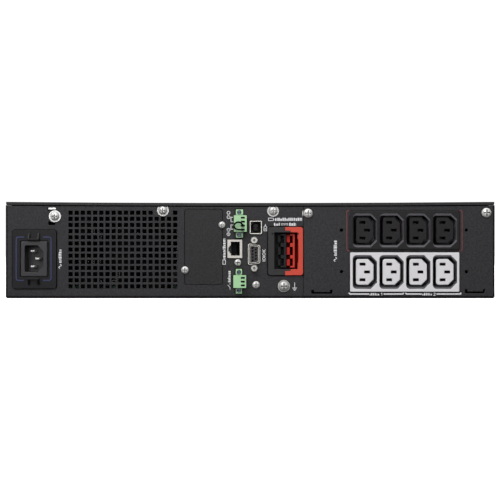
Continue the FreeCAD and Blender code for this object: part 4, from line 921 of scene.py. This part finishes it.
# white brackets under the outlet groups, each broken by a caption that ends in its number
GROUP_LINE_Z, GROUP_TIP_Z, GROUP_STROKE = -39.6, -38.4, 1.15
GROUP_TIP_RUN = 0.9             # sideways run of the upturned tip
GROUP_HALF_GAP = 6.6
DIGIT_OFFSET = 4.9
# +X end, -X end, caption centre
GROUPS = ((-88.5, -137.9, -113.2), (-139.3, -189.4, -160.6))
# digit strokes in (u, v), stroke width
DIGITS = (
    ([(-0.5, 0.5), (0.1, 1.1), (0.1, -1.15)], 0.6),
    ([(-0.7, 0.7), (-0.2, 1.1), (0.45, 1.05), (0.7, 0.55), (0.4, 0.0), (-0.75, -1.05),
      (0.85, -1.05)], 0.55),
)
mark = Mark("mark_outlet_groups", z=-39.8)
for start_x, end_x, centre_x in GROUPS:
    mark.band([(start_x, GROUP_TIP_Z), (start_x - GROUP_TIP_RUN, GROUP_LINE_Z),
               (centre_x + GROUP_HALF_GAP, GROUP_LINE_Z)], GROUP_STROKE)
    mark.band([(centre_x - GROUP_HALF_GAP, GROUP_LINE_Z),
               (end_x + GROUP_TIP_RUN, GROUP_LINE_Z), (end_x, GROUP_TIP_Z)], GROUP_STROKE)
    mark.x = centre_x
    mark.bars(-6.0, 3.4, 2.1, seed=29)
for (_, _, centre_x), (strokes, width) in zip(GROUPS, DIGITS):
    mark.x = centre_x - DIGIT_OFFSET
    mark.line(strokes, width)
mark.done()


# ------------------------------------------------------------------ bare rings and tongue
def bare_ring(name, x, z, radius, top):
    """Thin flat ring round a screw hole, cut off level at the top."""
    hole_radius, steps = 1.96, 64
    bm = bmesh.new()
    outer = [(u, min(v, top)) for u, v in circle(x, z, radius, steps)]
    hole = circle(x, z, hole_radius, steps)
    y0, y1 = REAR - SINK, REAR + RING_RISE
    outer0, outer1 = add_verts(bm, outer, y0), add_verts(bm, outer, y1)
    hole0, hole1 = add_verts(bm, hole, y0), add_verts(bm, hole, y1)
    add_tube_faces(bm, outer0, hole0, outer1, hole1, closed=True)
    add_part(name, bm, BARE, "chassis")


def bare_segment(name, x, z, radius, cut_x):
    """The sliver of a disc on the +X side of an upright cut."""
    half_angle = math.degrees(math.acos((cut_x - x) / radius))
    bm = bmesh.new()
    add_prism(bm, circle(x, z, radius, 16, -half_angle, half_angle),
              REAR - SINK, REAR + RING_RISE)
    add_part(name, bm, BARE, "chassis")


def earthing_tongue():
    # (x, z) outline
    outline = [(174.3, 36.3), (181.0, 36.3), (181.4, 36.9), (181.0, 38.05), (174.7, 38.05),
               (174.3, 37.6)]
    bm = bmesh.new()
    add_prism(bm, outline, REAR - 2.4, REAR - 0.2)
    bmesh.ops.bevel(bm, geom=list(bm.edges), offset=0.12 * MM, segments=2, profile=0.5,
                    affect="EDGES")
    add_part("earthing_tongue", bm, ZINC, "chassis")


bare_ring("bare_ring_b", x=78.35, z=35.5, radius=5.2, top=38.62)
bare_ring("bare_ring_c", x=-20.5, z=34.9, radius=5.1, top=38.52)
bare_segment("bare_ring_d", x=-51.7, z=33.0, radius=5.0, cut_x=-47.6)
earthing_tongue()


# ------------------------------------------------------------------ front: lamps, film, keys
def lamp_lens(name, x, material):
    # radius, y: from the rim forward to the dome
    profile = ((1.22, -28.82), (1.22, -29.1), (1.05, -29.28), (0.7, -29.40), (0.3, -29.45))
    steps = 20
    bm = bmesh.new()
    rings = [add_verts(bm, circle(x, CONTROL_ROW_Z, radius, steps), y) for radius, y in profile]
    for inner, outer in zip(rings, rings[1:]):
        for i in range(steps):
            j = (i + 1) % steps
            bm.faces.new((inner[i], inner[j], outer[j], outer[i]))
    bm.faces.new(rings[0][::-1])
    bm.faces.new(rings[-1])
    add_part(name, bm, material, "display", smooth=True)


def display_film():
    low, high = (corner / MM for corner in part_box("display_window"))
    x0, x1 = low.x + FILM_INSET, high.x - FILM_INSET
    z0, z1 = low.z + FILM_INSET, high.z - FILM_INSET
    bm = bmesh.new()
    add_prism(bm, [(x0, z0), (x1, z0), (x1, z1), (x0, z1)], low.y - 0.04, low.y + 0.02)
    add_part("display_film", bm, film(), "display")


for i, material in enumerate((LAMP_GREEN, LAMP_AMBER, LAMP_AMBER, LAMP_RED)):
    lamp_lens(f"lamp_lens_{i + 1}", FIRST_LAMP_X + i * LAMP_PITCH, material)
display_film()

# key, stroke width, strokes in (u, v): cross, up arrow, down arrow, return arrow
KEY_MARKS = (
    ("escape", 0.45, ([(-1.3, -1.3), (1.3, 1.3)], [(-1.3, 1.3), (1.3, -1.3)])),
    ("up", 0.5, ([(-1.7, -0.8), (0, 0.9), (1.7, -0.8)],)),
    ("down", 0.5, ([(-1.7, 0.8), (0, -0.9), (1.7, 0.8)],)),
    ("enter", 0.45, ([(1.7, 1.2), (1.7, -0.4), (-1.4, -0.4)],
                     [(-0.5, 0.5), (-1.5, -0.4), (-0.5, -1.3)])),
)
for i, (key, width, strokes) in enumerate(KEY_MARKS):
    mark = Mark(f"mark_{key}_key", x=FIRST_KEY_X + i * KEY_PITCH, z=CONTROL_ROW_Z,
                slot="key_grey", y=KEY_FACE, body=f"{key}_button", facing=-1)
    for stroke in strokes:
        mark.line(stroke, width)
    mark.done()


# ------------------------------------------------------------------ studio (metres)
def studio_floor():
    cells, half_size, clearance = 14, 6.0, 0.0002
    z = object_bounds()[0][2] - clearance
    ticks = [-half_size + 2 * half_size * i / cells for i in range(cells + 1)]
    bm = bmesh.new()
    grid = [[bm.verts.new((x, y, z)) for y in ticks] for x in ticks]
    for i in range(cells):
        for j in range(cells):
            bm.faces.new((grid[i][j], grid[i + 1][j], grid[i + 1][j + 1], grid[i][j + 1]))
    add_object("studio_floor", bm, floor_matt())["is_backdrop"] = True


def studio_world():
    """White to the camera; as lighting, bright above, dark at the sides, with a rear lobe."""
    world = bpy.data.worlds.new("studio")
    scene.world = world
    world.use_nodes = True
    world.node_tree.nodes.clear()
    graph = Graph(world.node_tree)
    output = graph.node("ShaderNodeOutputWorld")
    backdrop = graph.node("ShaderNodeBackground")
    backdrop.inputs["Color"].default_value = (1, 1, 1, 1)
    backdrop.inputs["Strength"].default_value = 1.05
    lighting = graph.node("ShaderNodeBackground")
    x, y, z = graph.split(graph.node("ShaderNodeTexCoord").outputs["Generated"])
    height = graph.map_range(z, -0.1, 0.7, to_min=0.18, to_max=0.70)
    sides = graph.map_range(graph.math("ABSOLUTE", x), 0.45, 0.95, to_min=1.0, to_max=0.06)
    lobe = graph.map_range(y, 0.80, 0.97, to_min=0.0, to_max=1.9)
    strength = graph.math("ADD", graph.product(height, sides), lobe)
    graph.feed(lighting.inputs["Strength"], strength)
    graph.feed(output.inputs[0], graph.camera_switch(lighting.outputs[0], backdrop.outputs[0]))


def area_light(name, location, target, size, energy):
    light = bpy.data.lights.new(name, "AREA")
    light.shape = "RECTANGLE"
    light.size, light.size_y = size
    light.energy = energy
    obj = bpy.data.objects.new(name, light)
    obj.location = location
    aim = Vector(target) - Vector(location)
    obj.rotation_euler = aim.to_track_quat("-Z", "Y").to_euler()
    scene.collection.objects.link(obj)


def rear_camera():
    camera = bpy.data.cameras.new("camera")
    camera.sensor_width = SENSOR_WIDTH
    camera.lens = SENSOR_WIDTH * VIEW_DISTANCE / VIEW_WIDTH
    camera.clip_start = 0.01
    camera.clip_end = 50
    obj = bpy.data.objects.new("camera", camera)
    obj.location = (0.00018, (REAR + VIEW_DISTANCE) * MM, -0.0001)
    obj.rotation_euler = (math.radians(90), 0, math.radians(180))
    scene.collection.objects.link(obj)
    scene.camera = obj


studio_floor()
studio_world()
rear_y = REAR * MM
# name, location, target, size, energy
LIGHTS = (
    ("key_rear_high", (0.50, rear_y + 1.2, 1.3), (0, rear_y, 0), (1.3, 0.5), 18.5),
    ("fill_rear", (0.15, rear_y + 1.7, 0.35), (0, rear_y, 0), (0.9, 0.5), 2.7),
    ("top_soft", (0, 0.2, 1.6), (0, 0.2, 0), (1.6, 1.6), 9),
    ("front_soft", (-0.5, -1.5, 0.9), (0, 0, 0), (1.4, 0.9), 20),
)
for light in LIGHTS:
    area_light(*light)
rear_camera()
scene.view_settings.view_transform = "Standard"
scene.view_settings.look = "None"
scene.view_settings.exposure = 0.0
